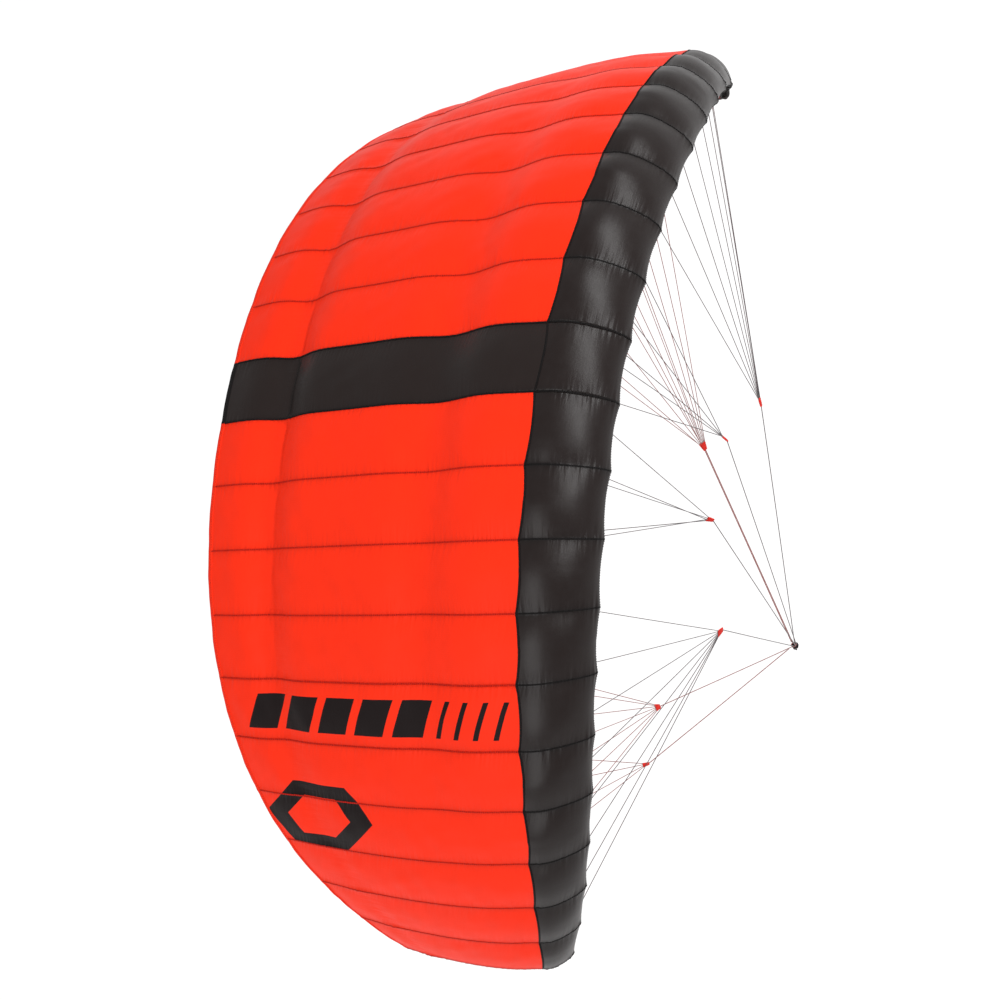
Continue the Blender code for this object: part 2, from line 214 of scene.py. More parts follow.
def seam_facts(station):
    """For each station: its cell's width, its place across the cell from 0 to 1, and its nearest rib."""
    far = np.abs(station)
    cell = np.clip(np.searchsorted(STATIONS, far, side="right") - 1, -1, HALF_CELLS - 1)
    centre = cell < 0
    low = np.where(centre, -STATIONS[0], STATIONS[np.maximum(cell, 0)])
    high = np.where(centre, STATIONS[0], STATIONS[np.maximum(cell, 0) + 1])
    place = np.where(centre, station, far)
    share = (place - low) / (high - low)
    index = np.where(share < 0.5, cell, cell + 1)
    index = np.where(centre, 0, index)
    sign = np.where(station < 0, -1, 1)
    return high - low, share, sign * (index + 1)


def ripple(distance, seed, lengths):
    """Irregular wave from -1 to 1 along a distance; seed picks its phases and may be an array."""
    total = np.zeros(np.broadcast(distance, seed).shape)
    for k, length in enumerate(lengths):
        phase = np.sin(seed * 12.9898 + k * 78.233) * 43758.5453
        total = total + np.sin(2 * np.pi * (distance / length + phase - np.floor(phase)))
    return total / len(lengths)


def crown(t, props):
    """Height of a cell's crown over its seams, as a share of the cell's width."""
    top = props.rear_puff + (props.nose_puff - props.rear_puff) * bump(t, 0.36, 0.20)
    top = top * ramp(t, 0.0, 0.22) * (1 - 0.75 * ramp(t, 0.93, 1.0))
    top = top - 0.024 * bump(t, math.sqrt(CREASE), 0.04)
    belly = props.belly_puff * ramp(-t, 0.20, 0.40) * (1 - 0.75 * ramp(-t, 0.93, 1.0))
    return top + belly - props.nose_scallop * bump(t, -0.07, 0.11)


def puffed(station, t):
    """Rise of the inflated cloth over the aerofoil: crowns, puckers at the seams, crease and slack."""
    props = bpy.context.scene.kite_cloth
    station, t = np.broadcast_arrays(station, t)
    width, share, rib = seam_facts(station)
    distance = np.minimum(share, 1 - share) * width
    run = along_chord(station, t)
    x = t * t
    size = chord(station)
    fullness = 1 + 0.10 * ripple(run, rib * 0.5 + 3, (0.31, 0.47))
    rise = SHEET_MIDDLE + crown(t, props) * width * (1 - (2 * share - 1) ** 2) * fullness
    at_crease = bump(x * size, (CREASE + 0.012) * size, 0.030) * (t > 0)
    band = ramp(-t, -BAND_END**0.5 - 0.01, -BAND_END**0.5 + 0.01)
    depth = props.pucker * (0.62 + 0.45 * band + 0.7 * at_crease + 0.7 * bump(t, 0.05, 0.13))
    fold = np.exp(-distance / 0.017)
    rise = rise + depth * fold * ripple(run, rib, (0.0137, 0.0171, 0.0233, 0.0319))
    slack = ripple(run + 0.35 * station, 5, (0.093, 0.147)) * ripple(station - 0.2 * run, 9, (0.071, 0.119))
    loose = 0.15 + 0.85 * ramp(np.abs(t), BAND_END**0.5, 0.62)
    rise = rise + 0.0016 * slack * (1 - fold) * loose
    groove = bump(x * size, CREASE * size, 0.0100) * (t > 0) * crease_share(station)
    rise = rise - props.crease_depth * groove * ramp(distance, 0.004, 0.022)
    ridge = 0.0011 + 0.0024 * bump(x, CREASE + 0.012, 0.055)
    return rise + ridge * bump(distance, 0.0, 0.007) * (t > 0)


def crease_share(station):
    """The crease is deepest at the centre and nearly gone at the tips."""
    far = np.abs(station)
    return (0.4 + 0.6 * (1 - ramp(far, 0.07, 0.25))) * (1 - 0.85 * ramp(far, 0.45, 0.95))


def panel_cut(station, t):
    """The panels' cross seam is cut forward between the ribs, so that it runs straight once puffed."""
    _, share, _ = seam_facts(station)
    return t - 0.022 * (1 - (2 * share - 1) ** 2) * bump(t, math.sqrt(BAND_END), 0.10)


# Meshes ----------------------------------------------------------------------------------------------

def link(obj):
    bpy.context.scene.collection.objects.link(obj)
    return obj


def mesh_object(name, points, faces, material, smooth=True):
    mesh = bpy.data.meshes.new(name)
    mesh.from_pydata([tuple(p) for p in points], [], [tuple(f) for f in faces])
    mesh.materials.append(material)
    if smooth:
        mesh.shade_smooth()
    return link(bpy.data.objects.new(name, mesh))


def cell_stations(side, first, last, steps):
    """Signed stations across the cells between two ribs, closer together beside the seams."""
    stations = [STATIONS[first]]
    for rib in range(first, last):
        for k in range(1, steps + 1):
            even = k / steps
            share = 0.55 * even + 0.45 * (0.5 - 0.5 * math.cos(math.pi * even))
            stations.append(STATIONS[rib] + share * (STATIONS[rib + 1] - STATIONS[rib]))
    return side * np.array(stations)


def top_stops(first, last, steps):
    return np.sqrt(np.linspace(first, last, steps + 1))


def sheet_mesh(name, stations, stops, material, thickness):
    """Cloth over a grid of stations and stops, with a UV map in metres and its seam distances."""
    s, t = np.meshgrid(stations, stops, indexing="ij")
    t = panel_cut(s, t)
    points = lay(s, t, puffed(s, t)).reshape(-1, 3)
    rows, columns = len(stations), len(stops)
    i, j = np.meshgrid(np.arange(rows - 1), np.arange(columns - 1), indexing="ij")
    a = (i * columns + j).ravel()
    quads = np.stack([a, a + columns, a + columns + 1, a + 1], 1)
    if outward(points, quads, s.ravel(), t.ravel()) < 0:
        quads = quads[:, ::-1]
    obj = mesh_object(name, points, quads, material)
    width, share, _ = seam_facts(s)
    add_floats(obj, "seam_distance", np.minimum(share, 1 - share) * width)
    # crease_distance feeds the painted shade along the crease and the wrinkles behind it; towards the tips it is
    # pushed away, so that shade fades.
    off = np.abs(np.where(t > 0, t * t, 0) - CREASE) * chord(s)
    add_floats(obj, "crease_distance", off + 0.03 * (1 - crease_share(s)))
    uv = obj.data.uv_layers.new(name="cloth")
    corners = np.array([loop.vertex_index for loop in obj.data.loops])
    flat = np.stack([s.ravel(), along_chord(s, t).ravel()], 1)
    uv.data.foreach_set("uv", flat[corners].astype(np.float32).ravel())
    thicken(obj, thickness)
    return obj


def outward(points, quads, s, t):
    """Positive where the faces look away from the inside of the aerofoil."""
    corner = points[quads]
    normals = np.cross(corner[:, 1] - corner[:, 0], corner[:, 3] - corner[:, 0])
    lifted = lay(s[quads[:, 0]], t[quads[:, 0]], 0.01) - lay(s[quads[:, 0]], t[quads[:, 0]], 0.0)
    return (normals * lifted).sum()


def add_floats(obj, name, values):
    attribute = obj.data.attributes.new(name, "FLOAT", "POINT")
    attribute.data.foreach_set("value", np.asarray(values, np.float32).ravel())


def thicken(obj, thickness):
    solid = obj.modifiers.new("thickness", "SOLIDIFY")
    solid.thickness = thickness
    solid.offset = -1.0
    solid.use_even_offset = False


def joined(name, pieces, material):
    """One mesh from lists of (points, faces)."""
    points, faces, start = [], [], 0
    for more, quads in pieces:
        points += [tuple(p) for p in more]
        faces += [tuple(start + v for v in face) for face in quads]
        start += len(more)
    return mesh_object(name, points, faces, material)


def tube_parts(route, radii, sides, caps=True):
    """(points, faces) of a closed tube along a route, with one radius for each of its points."""
    route = [Vector(p) for p in route]
    tangent = (route[1] - route[0]).normalized()
    side = tangent.orthogonal().normalized()
    points, faces = [], []
    for k, centre in enumerate(route):
        ahead = route[min(k + 1, len(route) - 1)] - route[max(k - 1, 0)]
        turn = tangent.rotation_difference(ahead.normalized())
        side = (turn @ side).normalized()
        tangent = ahead.normalized()
        across = tangent.cross(side)
        for m in range(sides):
            a = 2 * math.pi * m / sides
            points.append(centre + (side * math.cos(a) + across * math.sin(a)) * radii[k])
    for k in range(len(route) - 1):
        for m in range(sides):
            n = (m + 1) % sides
            faces.append((k * sides + m, k * sides + n, (k + 1) * sides + n, (k + 1) * sides + m))
    if caps:
        faces.append(tuple(reversed(range(sides))))
        faces.append(tuple(range((len(route) - 1) * sides, len(route) * sides)))
    return points, faces


# Node trees ------------------------------------------------------------------------------------------

class Graph:
    """Short calls for filling a node tree."""

    def __init__(self, tree):
        self.tree = tree
        tree.nodes.clear()

    def node(self, kind, inputs=(), **settings):
        made = self.tree.nodes.new(kind)
        for key, value in settings.items():
            setattr(made, key, value)
        for key, value in dict(inputs).items():
            self.feed(made.inputs[key], value)
        return made

    def feed(self, socket, value):
        if isinstance(value, bpy.types.NodeSocket):
            self.tree.links.new(value, socket)
        else:
            socket.default_value = value

    def math(self, operation, *values, clamp=False):
        made = self.node("ShaderNodeMath", operation=operation, use_clamp=clamp)
        for i, value in enumerate(values):
            self.feed(made.inputs[i], value)
        return made.outputs[0]

    def fit(self, value, low, high, to_low, to_high):
        sockets = {"Value": value, "From Min": low, "From Max": high, "To Min": to_low, "To Max": to_high}
        return self.node("ShaderNodeMapRange", sockets).outputs["Result"]

    def mix(self, factor, first, second, blend="MIX"):
        made = self.node("ShaderNodeMix", data_type="RGBA", blend_type=blend)
        self.feed(made.inputs[0], factor)
        self.feed(made.inputs[6], first)
        self.feed(made.inputs[7], second)
        return made.outputs[2]

    def split(self, vector):
        made = self.node("ShaderNodeSeparateXYZ", {"Vector": vector})
        return made.outputs["X"], made.outputs["Y"], made.outputs["Z"]

    def merge(self, x, y, z=0.0):
        return self.node("ShaderNodeCombineXYZ", {"X": x, "Y": y, "Z": z}).outputs["Vector"]

    def noise(self, vector, scale, detail=2.0):
        sockets = {"Vector": vector, "Scale": scale, "Detail": detail}
        return self.node("ShaderNodeTexNoise", sockets).outputs["Fac"]


def new_group(name, kind, inputs, outputs):
    """A node group with named sockets, and its graph, input node and output node."""
    tree = bpy.data.node_groups.new(name, kind)
    graph = Graph(tree)
    for label, socket, default in inputs:
        made = tree.interface.new_socket(name=label, in_out="INPUT", socket_type=socket)
        if default is not None:
            made.default_value = default
    for label, socket in outputs:
        tree.interface.new_socket(name=label, in_out="OUTPUT", socket_type=socket)
    return tree, graph, graph.node("NodeGroupInput"), graph.node("NodeGroupOutput")


FLOAT, VECTOR, COLOR = "NodeSocketFloat", "NodeSocketVector", "NodeSocketColor"


def ripstop_group():
    """Ripstop cloth: the thread grid, fine crinkle, puckers by the seams, and a tone with painted shade along the
    seams and the crease.
    """
    found = bpy.data.node_groups.get("ripstop_cloth")
    if found:
        return found
    inputs = [("Cloth", VECTOR, None), ("Seam Distance", FLOAT, 0.05), ("Crease Distance", FLOAT, 1.0),
              ("Grid Pitch", FLOAT, 0.005), ("Crinkle", FLOAT, 1.0), ("Seam Shade", FLOAT, 0.3)]
    outputs = [("Height", FLOAT), ("Tone", FLOAT), ("Grain", FLOAT)]
    tree, g, given, out = new_group("ripstop_cloth", "ShaderNodeTree", inputs, outputs)
    u, v, _ = g.split(given.outputs["Cloth"])
    lines = []
    for along in (u, v):
        turns = g.math("DIVIDE", along, given.outputs["Grid Pitch"])
        wave = g.math("COSINE", g.math("MULTIPLY", turns, 2 * math.pi))
        lines.append(g.fit(wave, 0.86, 1.0, 0.0, 1.0))
    grid = g.math("MAXIMUM", *lines)
    seam = given.outputs["Seam Distance"]
    near = g.math("EXPONENT", g.math("MULTIPLY", seam, -48.0))
    pucker = g.noise(g.merge(g.math("MULTIPLY", u, 14.0), g.math("MULTIPLY", v, 95.0)), 1.0, 2.5)
    crease = given.outputs["Crease Distance"]
    behind = g.math("EXPONENT", g.math("MULTIPLY", g.math("ABSOLUTE", crease), -22.0))
    fan = g.noise(g.merge(g.math("MULTIPLY", u, 80.0), g.math("MULTIPLY", v, 10.0), 4.0), 1.0, 2.0)
    soft = g.noise(g.merge(u, v, 2.0), 17.0, 3.0)
    fine = g.noise(g.merge(u, v, 7.0), 130.0, 2.0)
    height = g.math("MULTIPLY", g.math("MULTIPLY", pucker, near), 0.0030)
    height = g.math("ADD", height, g.math("MULTIPLY", g.math("MULTIPLY", fan, behind), 0.0022))
    height = g.math("ADD", height, g.math("MULTIPLY", soft, 0.0003))
    height = g.math("ADD", height, g.math("MULTIPLY", fine, 0.00016))
    height = g.math("MULTIPLY", height, given.outputs["Crinkle"])
    g.feed(out.inputs["Height"], g.math("ADD", height, g.math("MULTIPLY", grid, 0.00003)))
    # Painted shade: the colour is darkened along each seam and along the crease across the top, as if those
    # grooves lay in shade.
    line = g.math("EXPONENT", g.math("MULTIPLY", seam, -170.0))
    fold = g.math("EXPONENT", g.math("MULTIPLY", g.math("ABSOLUTE", crease), -260.0))
    dark = g.math("MULTIPLY", g.math("MAXIMUM", line, fold), given.outputs["Seam Shade"])
    tone = g.math("SUBTRACT", 1.0, dark)
    tone = g.math("SUBTRACT", tone, g.math("MULTIPLY", grid, 0.035))
    tone = g.math("MULTIPLY", tone, g.fit(soft, 0.3, 0.7, 0.97, 1.02))
    g.feed(out.inputs["Tone"], tone)
    g.feed(out.inputs["Grain"], g.noise(g.merge(u, v, 1.0), 42.0, 3.0))
    return tree


def braid_group():
    """Braided sheath seen along a cord: crossing strands in the cord's own UV map."""
    found = bpy.data.node_groups.get("braided_sheath")
    if found:
        return found
    inputs = [("Cord", VECTOR, None), ("Strands", FLOAT, 8.0)]
    outputs = [("Height", FLOAT), ("Tone", FLOAT)]
    tree, g, given, out = new_group("braided_sheath", "ShaderNodeTree", inputs, outputs)
    u, v, w = g.split(given.outputs["Cord"])
    waves = []
    for sense in (1.0, -1.0):
        turned = g.math("ADD", g.math("MULTIPLY", g.math("ADD", u, v), 1400.0 * sense),
                        g.math("MULTIPLY", w, 900.0))
        waves.append(g.math("SINE", turned))
    weave = g.math("ABSOLUTE", g.math("MULTIPLY", *waves))
    g.feed(out.inputs["Height"], g.math("MULTIPLY", weave, 0.00025))
    dust = g.noise(given.outputs["Cord"], 60.0, 3.0)
    g.feed(out.inputs["Tone"], g.math("MULTIPLY", g.fit(weave, 0.0, 1.0, 0.72, 1.08),
                                      g.fit(dust, 0.3, 0.7, 0.88, 1.08)))
    return tree


def group_node(graph, tree, inputs):
    made = graph.node("ShaderNodeGroup", node_tree=tree)
    for key, value in inputs.items():
        graph.feed(made.inputs[key], value)
    return made


def shaded(graph, sockets):
    """Principled shader on the material's output."""
    shader = graph.node("ShaderNodeBsdfPrincipled", sockets)
    out = graph.node("ShaderNodeOutputMaterial")
    graph.feed(out.inputs["Surface"], shader.outputs["BSDF"])
    return shader


def times(graph, colour, tone):
    """A colour scaled by a tone."""
    grey = graph.node("ShaderNodeCombineColor", {"Red": tone, "Green": tone, "Blue": tone})
    return graph.mix(1.0, colour, grey.outputs["Color"], "MULTIPLY")


def new_material(name):
    material = bpy.data.materials.new(name)
    material.use_nodes = True
    return material, Graph(material.node_tree)


def cloth_material(name, colour, roughness, crinkle, shade, gloss, edge=None, print_colour=None):
    """Coated ripstop; edge lightens the cloth where it is worn, and print_colour adds the panel marks."""
    found = bpy.data.materials.get(name)
    if found:
        return found
    material, g = new_material(name)
    uv = g.node("ShaderNodeUVMap", uv_map="cloth").outputs["UV"]
    seam = g.node("ShaderNodeAttribute", attribute_name="seam_distance").outputs["Fac"]
    crease = g.node("ShaderNodeAttribute", attribute_name="crease_distance").outputs["Fac"]
    # shade sets how deep the painted shade along the seams and the crease is.
    sockets = {"Cloth": uv, "Seam Distance": seam, "Crease Distance": crease, "Crinkle": crinkle,
               "Seam Shade": shade}
    cloth = group_node(g, ripstop_group(), sockets)
    base = (*colour, 1.0)
    if edge:
        base = g.mix(g.fit(cloth.outputs["Grain"], 0.45, 0.75, 0.0, 0.16), base, (*edge, 1.0))
    if print_colour:
        base = g.mix(panel_marks(g, uv), base, (*print_colour, 1.0))
    rough = g.fit(cloth.outputs["Grain"], 0.3, 0.7, roughness - 0.02, roughness + 0.02)
    dent = g.node("ShaderNodeBump", {"Height": cloth.outputs["Height"], "Distance": 1.0, "Strength": 1.0})
    shaded(g, {"Base Color": times(g, base, cloth.outputs["Tone"]), "Roughness": rough,
               "Normal": dent.outputs["Normal"], "Specular IOR Level": gloss})
    return material


def panel_marks(g, uv):
    """Mask of the plain printed marks: a row of slanted blocks on one panel and a hexagon behind it."""
    props = bpy.context.scene.kite_marks
    u, v, _ = g.split(uv)
    mask = 0.0
    across = g.math("ABSOLUTE", g.math("SUBTRACT", u, props.row_station))
    inside = g.math("LESS_THAN", across, props.row_height / 2)
    slanted = g.math("ADD", v, g.math("MULTIPLY", u, props.slant))
    start = props.row_start
    for width, gap in [(props.bar, props.bar_gap)] * props.bars + [(props.block, props.gap)] * props.blocks:
        middle = start + width / 2
        off = g.math("ABSOLUTE", g.math("SUBTRACT", slanted, middle + props.row_station * props.slant))
        block = g.math("MULTIPLY", g.math("LESS_THAN", off, width / 2), inside)
        mask = g.math("MAXIMUM", mask, block)
        start += width + gap
    du = g.math("ABSOLUTE", g.math("SUBTRACT", u, props.hexagon_station))
    dv = g.math("ABSOLUTE", g.math("SUBTRACT", v, props.hexagon_place))
    dv = g.math("MULTIPLY", dv, props.hexagon_radius / props.hexagon_reach)
    slope = g.math("ADD", g.math("MULTIPLY", du, 0.5), g.math("MULTIPLY", dv, 0.866))
    distance = g.math("MAXIMUM", du, slope)
    outline = g.math("LESS_THAN", g.math("ABSOLUTE", g.math("SUBTRACT", distance, props.hexagon_radius)),
                     props.hexagon_width / 2)
    return g.math("MAXIMUM", mask, outline)


def red_cloth(printed=False):
    colours = bpy.context.scene.kite_colours
    if printed:
        return cloth_material("marked_red_cloth", colours.red, 0.48, 1.6, 0.28, 0.09,
                              print_colour=colours.mark)
    return cloth_material("red_cloth", colours.red, 0.48, 1.6, 0.28, 0.09)


def black_cloth():
    colours = bpy.context.scene.kite_colours
    return cloth_material("black_cloth", colours.black, 0.37, 0.95, 0.6, 0.27, edge=colours.black_worn)


# The stripe's colour is the black cloth lightened: painted light, where the stripe faces the light.
def lit_stripe_cloth():
    colours = bpy.context.scene.kite_colours
    return cloth_material("lit_stripe_cloth", colours.stripe, 0.42, 1.0, 0.5, 0.16, edge=colours.black_worn)


def thread_material(name, colour):
    """Twisted sewing thread."""
    found = bpy.data.materials.get(name)
    if found:
        return found
    material, g = new_material(name)
    place = g.node("ShaderNodeTexCoord").outputs["Object"]
    fleck = g.noise(place, 900.0, 2.0)
    dent = g.node("ShaderNodeBump", {"Height": fleck, "Distance": 0.0002})
    shaded(g, {"Base Color": times(g, (*colour, 1.0), g.fit(fleck, 0.3, 0.7, 0.7, 1.15)),
               "Roughness": g.fit(fleck, 0.3, 0.7, 0.5, 0.75), "Normal": dent.outputs["Normal"],
               "Specular IOR Level": 0.15})
    return material


def tape_material(name, colour):
    """Woven tape: fine ribs across it and small flecks."""
    found = bpy.data.materials.get(name)
    if found:
        return found
    material, g = new_material(name)
    place = g.node("ShaderNodeTexCoord").outputs["Object"]
    x, y, z = g.split(place)
    rib = g.math("SINE", g.math("MULTIPLY", g.math("ADD", g.math("ADD", x, y), z), 4200.0))
    fleck = g.noise(place, 260.0, 3.0)
    height = g.math("ADD", g.math("MULTIPLY", rib, 0.00006), g.math("MULTIPLY", fleck, 0.0003))
    dent = g.node("ShaderNodeBump", {"Height": height, "Distance": 1.0})
    tone = g.math("MULTIPLY", g.fit(rib, -1.0, 1.0, 0.88, 1.04), g.fit(fleck, 0.3, 0.7, 0.85, 1.1))
    shaded(g, {"Base Color": times(g, (*colour, 1.0), tone),
               "Roughness": g.fit(fleck, 0.3, 0.7, 0.55, 0.75), "Normal": dent.outputs["Normal"],
               "Specular IOR Level": 0.12})
    return material


def line_material(name, colour):
    """Braided line sheath."""
    found = bpy.data.materials.get(name)
    if found:
        return found
    material, g = new_material(name)
    place = g.node("ShaderNodeTexCoord").outputs["Object"]
    braid = group_node(g, braid_group(), {"Cord": place})
    dent = g.node("ShaderNodeBump", {"Height": braid.outputs["Height"], "Distance": 1.0})
    shaded(g, {"Base Color": times(g, (*colour, 1.0), braid.outputs["Tone"]),
               "Roughness": g.fit(braid.outputs["Tone"], 0.7, 1.1, 0.75, 0.5),
               "Normal": dent.outputs["Normal"], "Sheen Weight": 0.3})
    return material


def rib_material():
    """Matt white rib cloth with its thread grid in the rib's own plane."""
    found = bpy.data.materials.get("white_rib_cloth")
    if found:
        return found
    material, g = new_material("white_rib_cloth")
    place = g.node("ShaderNodeTexCoord").outputs["Object"]
    x, y, z = g.split(place)
    lines = []
    for along in (y, g.math("SQRT", g.math("ADD", g.math("MULTIPLY", x, x), g.math("MULTIPLY", z, z)))):
        lines.append(g.fit(g.math("COSINE", g.math("MULTIPLY", along, 1256.0)), 0.86, 1.0, 0.0, 1.0))
    grid = g.math("MAXIMUM", *lines)
    crinkle = g.noise(place, 22.0, 3.0)
    height = g.math("ADD", g.math("MULTIPLY", crinkle, 0.002), g.math("MULTIPLY", grid, 0.00004))
    dent = g.node("ShaderNodeBump", {"Height": height, "Distance": 1.0})
    tone = g.math("SUBTRACT", g.fit(crinkle, 0.3, 0.7, 0.94, 1.02), g.math("MULTIPLY", grid, 0.05))
    shaded(g, {"Base Color": times(g, (*bpy.context.scene.kite_colours.rib, 1.0), tone),
               "Roughness": g.fit(crinkle, 0.3, 0.7, 0.5, 0.65), "Normal": dent.outputs["Normal"]})
    return material


# Fabric across the flap's hinge ----------------------------------------------------------------------

def joint_facts(name):
    for joint in frame["joints"]:
        if joint["name"] == name:
            return Vector(joint["pos_m"]), Vector(joint["axis"])
    raise RuntimeError(f"the frame has no joint {name}")


def bend_line(word):
    """Points between which the outer cells bend from the canopy to the flap."""
    hinge, axis = joint_facts(f"flap_{word}_hinge")
    rearward = Vector((0, 1, 0))
    rearward = (rearward - axis * rearward.dot(axis)).normalized()
    return hinge + rearward * BEND_START, hinge + rearward * BEND_END


def gusset_line(word, side):
    """The same for the cell beside the flap, whose bend dies away towards its inner rib."""
    start, end = bend_line(word)
    slope = (end - start) / (end - start).length_squared
    angle = STATIONS[FLAP_FIRST_RIB + 1] / ARC_RADIUS
    away = Vector((side * math.cos(angle), 0, -math.sin(angle)))
    outer = lay_one(side * STATIONS[FLAP_FIRST_RIB + 1], 1.0, 0.0)
    corner = lay_one(side * STATIONS[FLAP_FIRST_RIB], 1.0, 0.0)
    slope += away * (slope.dot(corner - start) / away.dot(outer - corner))
    return corner, corner + slope / slope.length_squared


ZONES = {"inner": (0, FLAP_FIRST_RIB), "gusset": (FLAP_FIRST_RIB, FLAP_FIRST_RIB + 1),
         "outer": (FLAP_FIRST_RIB + 1, HALF_CELLS)}


def hang(obj, zone, word):
    """The piece moves with its part of the canopy."""
    if zone == "inner":
        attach(obj, "canopy")
    elif zone == "gusset":
        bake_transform(obj, "canopy", f"flap_{word}", *gusset_line(word, SIDES[word]))
    else:
        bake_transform(obj, "canopy", f"flap_{word}", *bend_line(word))


# Geometry Nodes --------------------------------------------------------------------------------------

def stitch_tree():
    """Rows of thread stitches along the edges of a guide mesh, lying on its facing directions."""
    found = bpy.data.node_groups.get("stitch_rows")
    if found:
        return found
    inputs = [("Guide", "NodeSocketGeometry", None), ("Pitch", FLOAT, 0.006), ("Length", FLOAT, 0.004),
              ("Width", FLOAT, 0.001), ("Material", "NodeSocketMaterial", None)]
    tree, g, given, out = new_group("stitch_rows", "GeometryNodeTree", inputs,
                                    [("Stitches", "NodeSocketGeometry")])
    rows = g.node("GeometryNodeMeshToCurve", {"Mesh": given.outputs["Guide"]})
    spaced = g.node("GeometryNodeResampleCurve", mode="LENGTH")
    g.feed(spaced.inputs["Curve"], rows.outputs["Curve"])
    g.feed(spaced.inputs["Length"], given.outputs["Pitch"])
    facing = g.node("GeometryNodeInputNamedAttribute", {"Name": "facing"}, data_type="FLOAT_VECTOR")
    upright = g.node("FunctionNodeAlignRotationToVector", {"Vector": facing.outputs["Attribute"]}, axis="Z")
    tangent = g.node("GeometryNodeInputTangent")
    turned = g.node("FunctionNodeAlignRotationToVector", axis="X", pivot_axis="Z")
    g.feed(turned.inputs["Rotation"], upright.outputs["Rotation"])
    g.feed(turned.inputs["Vector"], tangent.outputs["Tangent"])
    bead = g.node("GeometryNodeMeshIcoSphere", {"Radius": 0.5, "Subdivisions": 1})
    width = given.outputs["Width"]
    size = g.merge(given.outputs["Length"], width, width)
    sewn = g.node("GeometryNodeInstanceOnPoints")
    g.feed(sewn.inputs["Points"], spaced.outputs["Curve"])
    g.feed(sewn.inputs["Instance"], bead.outputs["Mesh"])
    g.feed(sewn.inputs["Rotation"], turned.outputs["Rotation"])
    g.feed(sewn.inputs["Scale"], size)
    real = g.node("GeometryNodeRealizeInstances", {"Geometry": sewn.outputs["Instances"]})
    smooth = g.node("GeometryNodeSetShadeSmooth", {"Geometry": real.outputs["Geometry"]})
    coloured = g.node("GeometryNodeSetMaterial", {"Geometry": smooth.outputs["Geometry"]})
    g.feed(coloured.inputs["Material"], given.outputs["Material"])
    g.feed(out.inputs["Stitches"], coloured.outputs["Geometry"])
    return tree


def net_tree():
    """Thin strands along every edge of a guide mesh."""
    found = bpy.data.node_groups.get("woven_net")
    if found:
        return found
    inputs = [("Guide", "NodeSocketGeometry", None), ("Strand", FLOAT, 0.0009),
              ("Material", "NodeSocketMaterial", None)]
    tree, g, given, out = new_group("woven_net", "GeometryNodeTree", inputs, [("Net", "NodeSocketGeometry")])
    strands = g.node("GeometryNodeMeshToCurve", {"Mesh": given.outputs["Guide"]})
    ring = g.node("GeometryNodeCurvePrimitiveCircle", {"Resolution": 4})
    g.feed(ring.inputs["Radius"], g.math("DIVIDE", given.outputs["Strand"], 2.0))
    tube = g.node("GeometryNodeCurveToMesh", {"Curve": strands.outputs["Curve"], "Fill Caps": True})
    g.feed(tube.inputs["Profile Curve"], ring.outputs["Curve"])
    real = g.node("GeometryNodeRealizeInstances", {"Geometry": tube.outputs["Mesh"]})
    coloured = g.node("GeometryNodeSetMaterial", {"Geometry": real.outputs["Geometry"]})
    g.feed(coloured.inputs["Material"], given.outputs["Material"])
    g.feed(out.inputs["Net"], coloured.outputs["Geometry"])
    return tree


def grown(name, guide, tree, settings):
    """Plain mesh of what a tree makes on a guide mesh."""
    maker = guide.modifiers.new("maker", "NODES")
    maker.node_group = tree
    for item in tree.interface.items_tree:
        if item.in_out == "INPUT" and item.name in settings:
            maker[item.identifier] = settings[item.name]
    bpy.context.view_layer.update()
    evaluated = guide.evaluated_get(bpy.context.evaluated_depsgraph_get())
    mesh = bpy.data.meshes.new_from_object(evaluated)
    mesh.name = name
    if not len(mesh.polygons):
        raise RuntimeError(f"{name} came out empty")
    bpy.data.objects.remove(guide)
    for extra in [a.name for a in mesh.attributes if a.name == "facing"]:
        mesh.attributes.remove(mesh.attributes[extra])
    return link(bpy.data.objects.new(name, mesh))


def guide_mesh(rows):
    """Polylines as a mesh; each row is a list of (point, facing)."""
    points, edges, facings = [], [], []
    for row in rows:
        start = len(points)
        points += [tuple(p) for p, _ in row]
        facings += [tuple(f) for _, f in row]
        edges += [(start + k, start + k + 1) for k in range(len(row) - 1)]
    mesh = bpy.data.meshes.new("guide")
    mesh.from_pydata(points, edges, [])
    facing = mesh.attributes.new("facing", "FLOAT_VECTOR", "POINT")
    facing.data.foreach_set("vector", np.array(facings, np.float32).ravel())
    return link(bpy.data.objects.new("guide", mesh))


def stitches(name, rows, thread, pitch=0.0065, length=0.0042, width=0.0009):
    settings = {"Pitch": pitch, "Length": length, "Width": width, "Material": thread}
    return grown(name, guide_mesh(rows), stitch_tree(), settings)


def cloth_row(stations, stops, lift):
    """A row on the cloth as (point, facing) pairs."""
    s, t = np.broadcast_arrays(np.asarray(stations, float), np.asarray(stops, float))
    rise = puffed(s, t) + lift
    points = lay(s, t, rise)
    facings = lay(s, t, rise + 0.01) - points
    return list(zip(points, facings))


# Properties ------------------------------------------------------------------------------------------

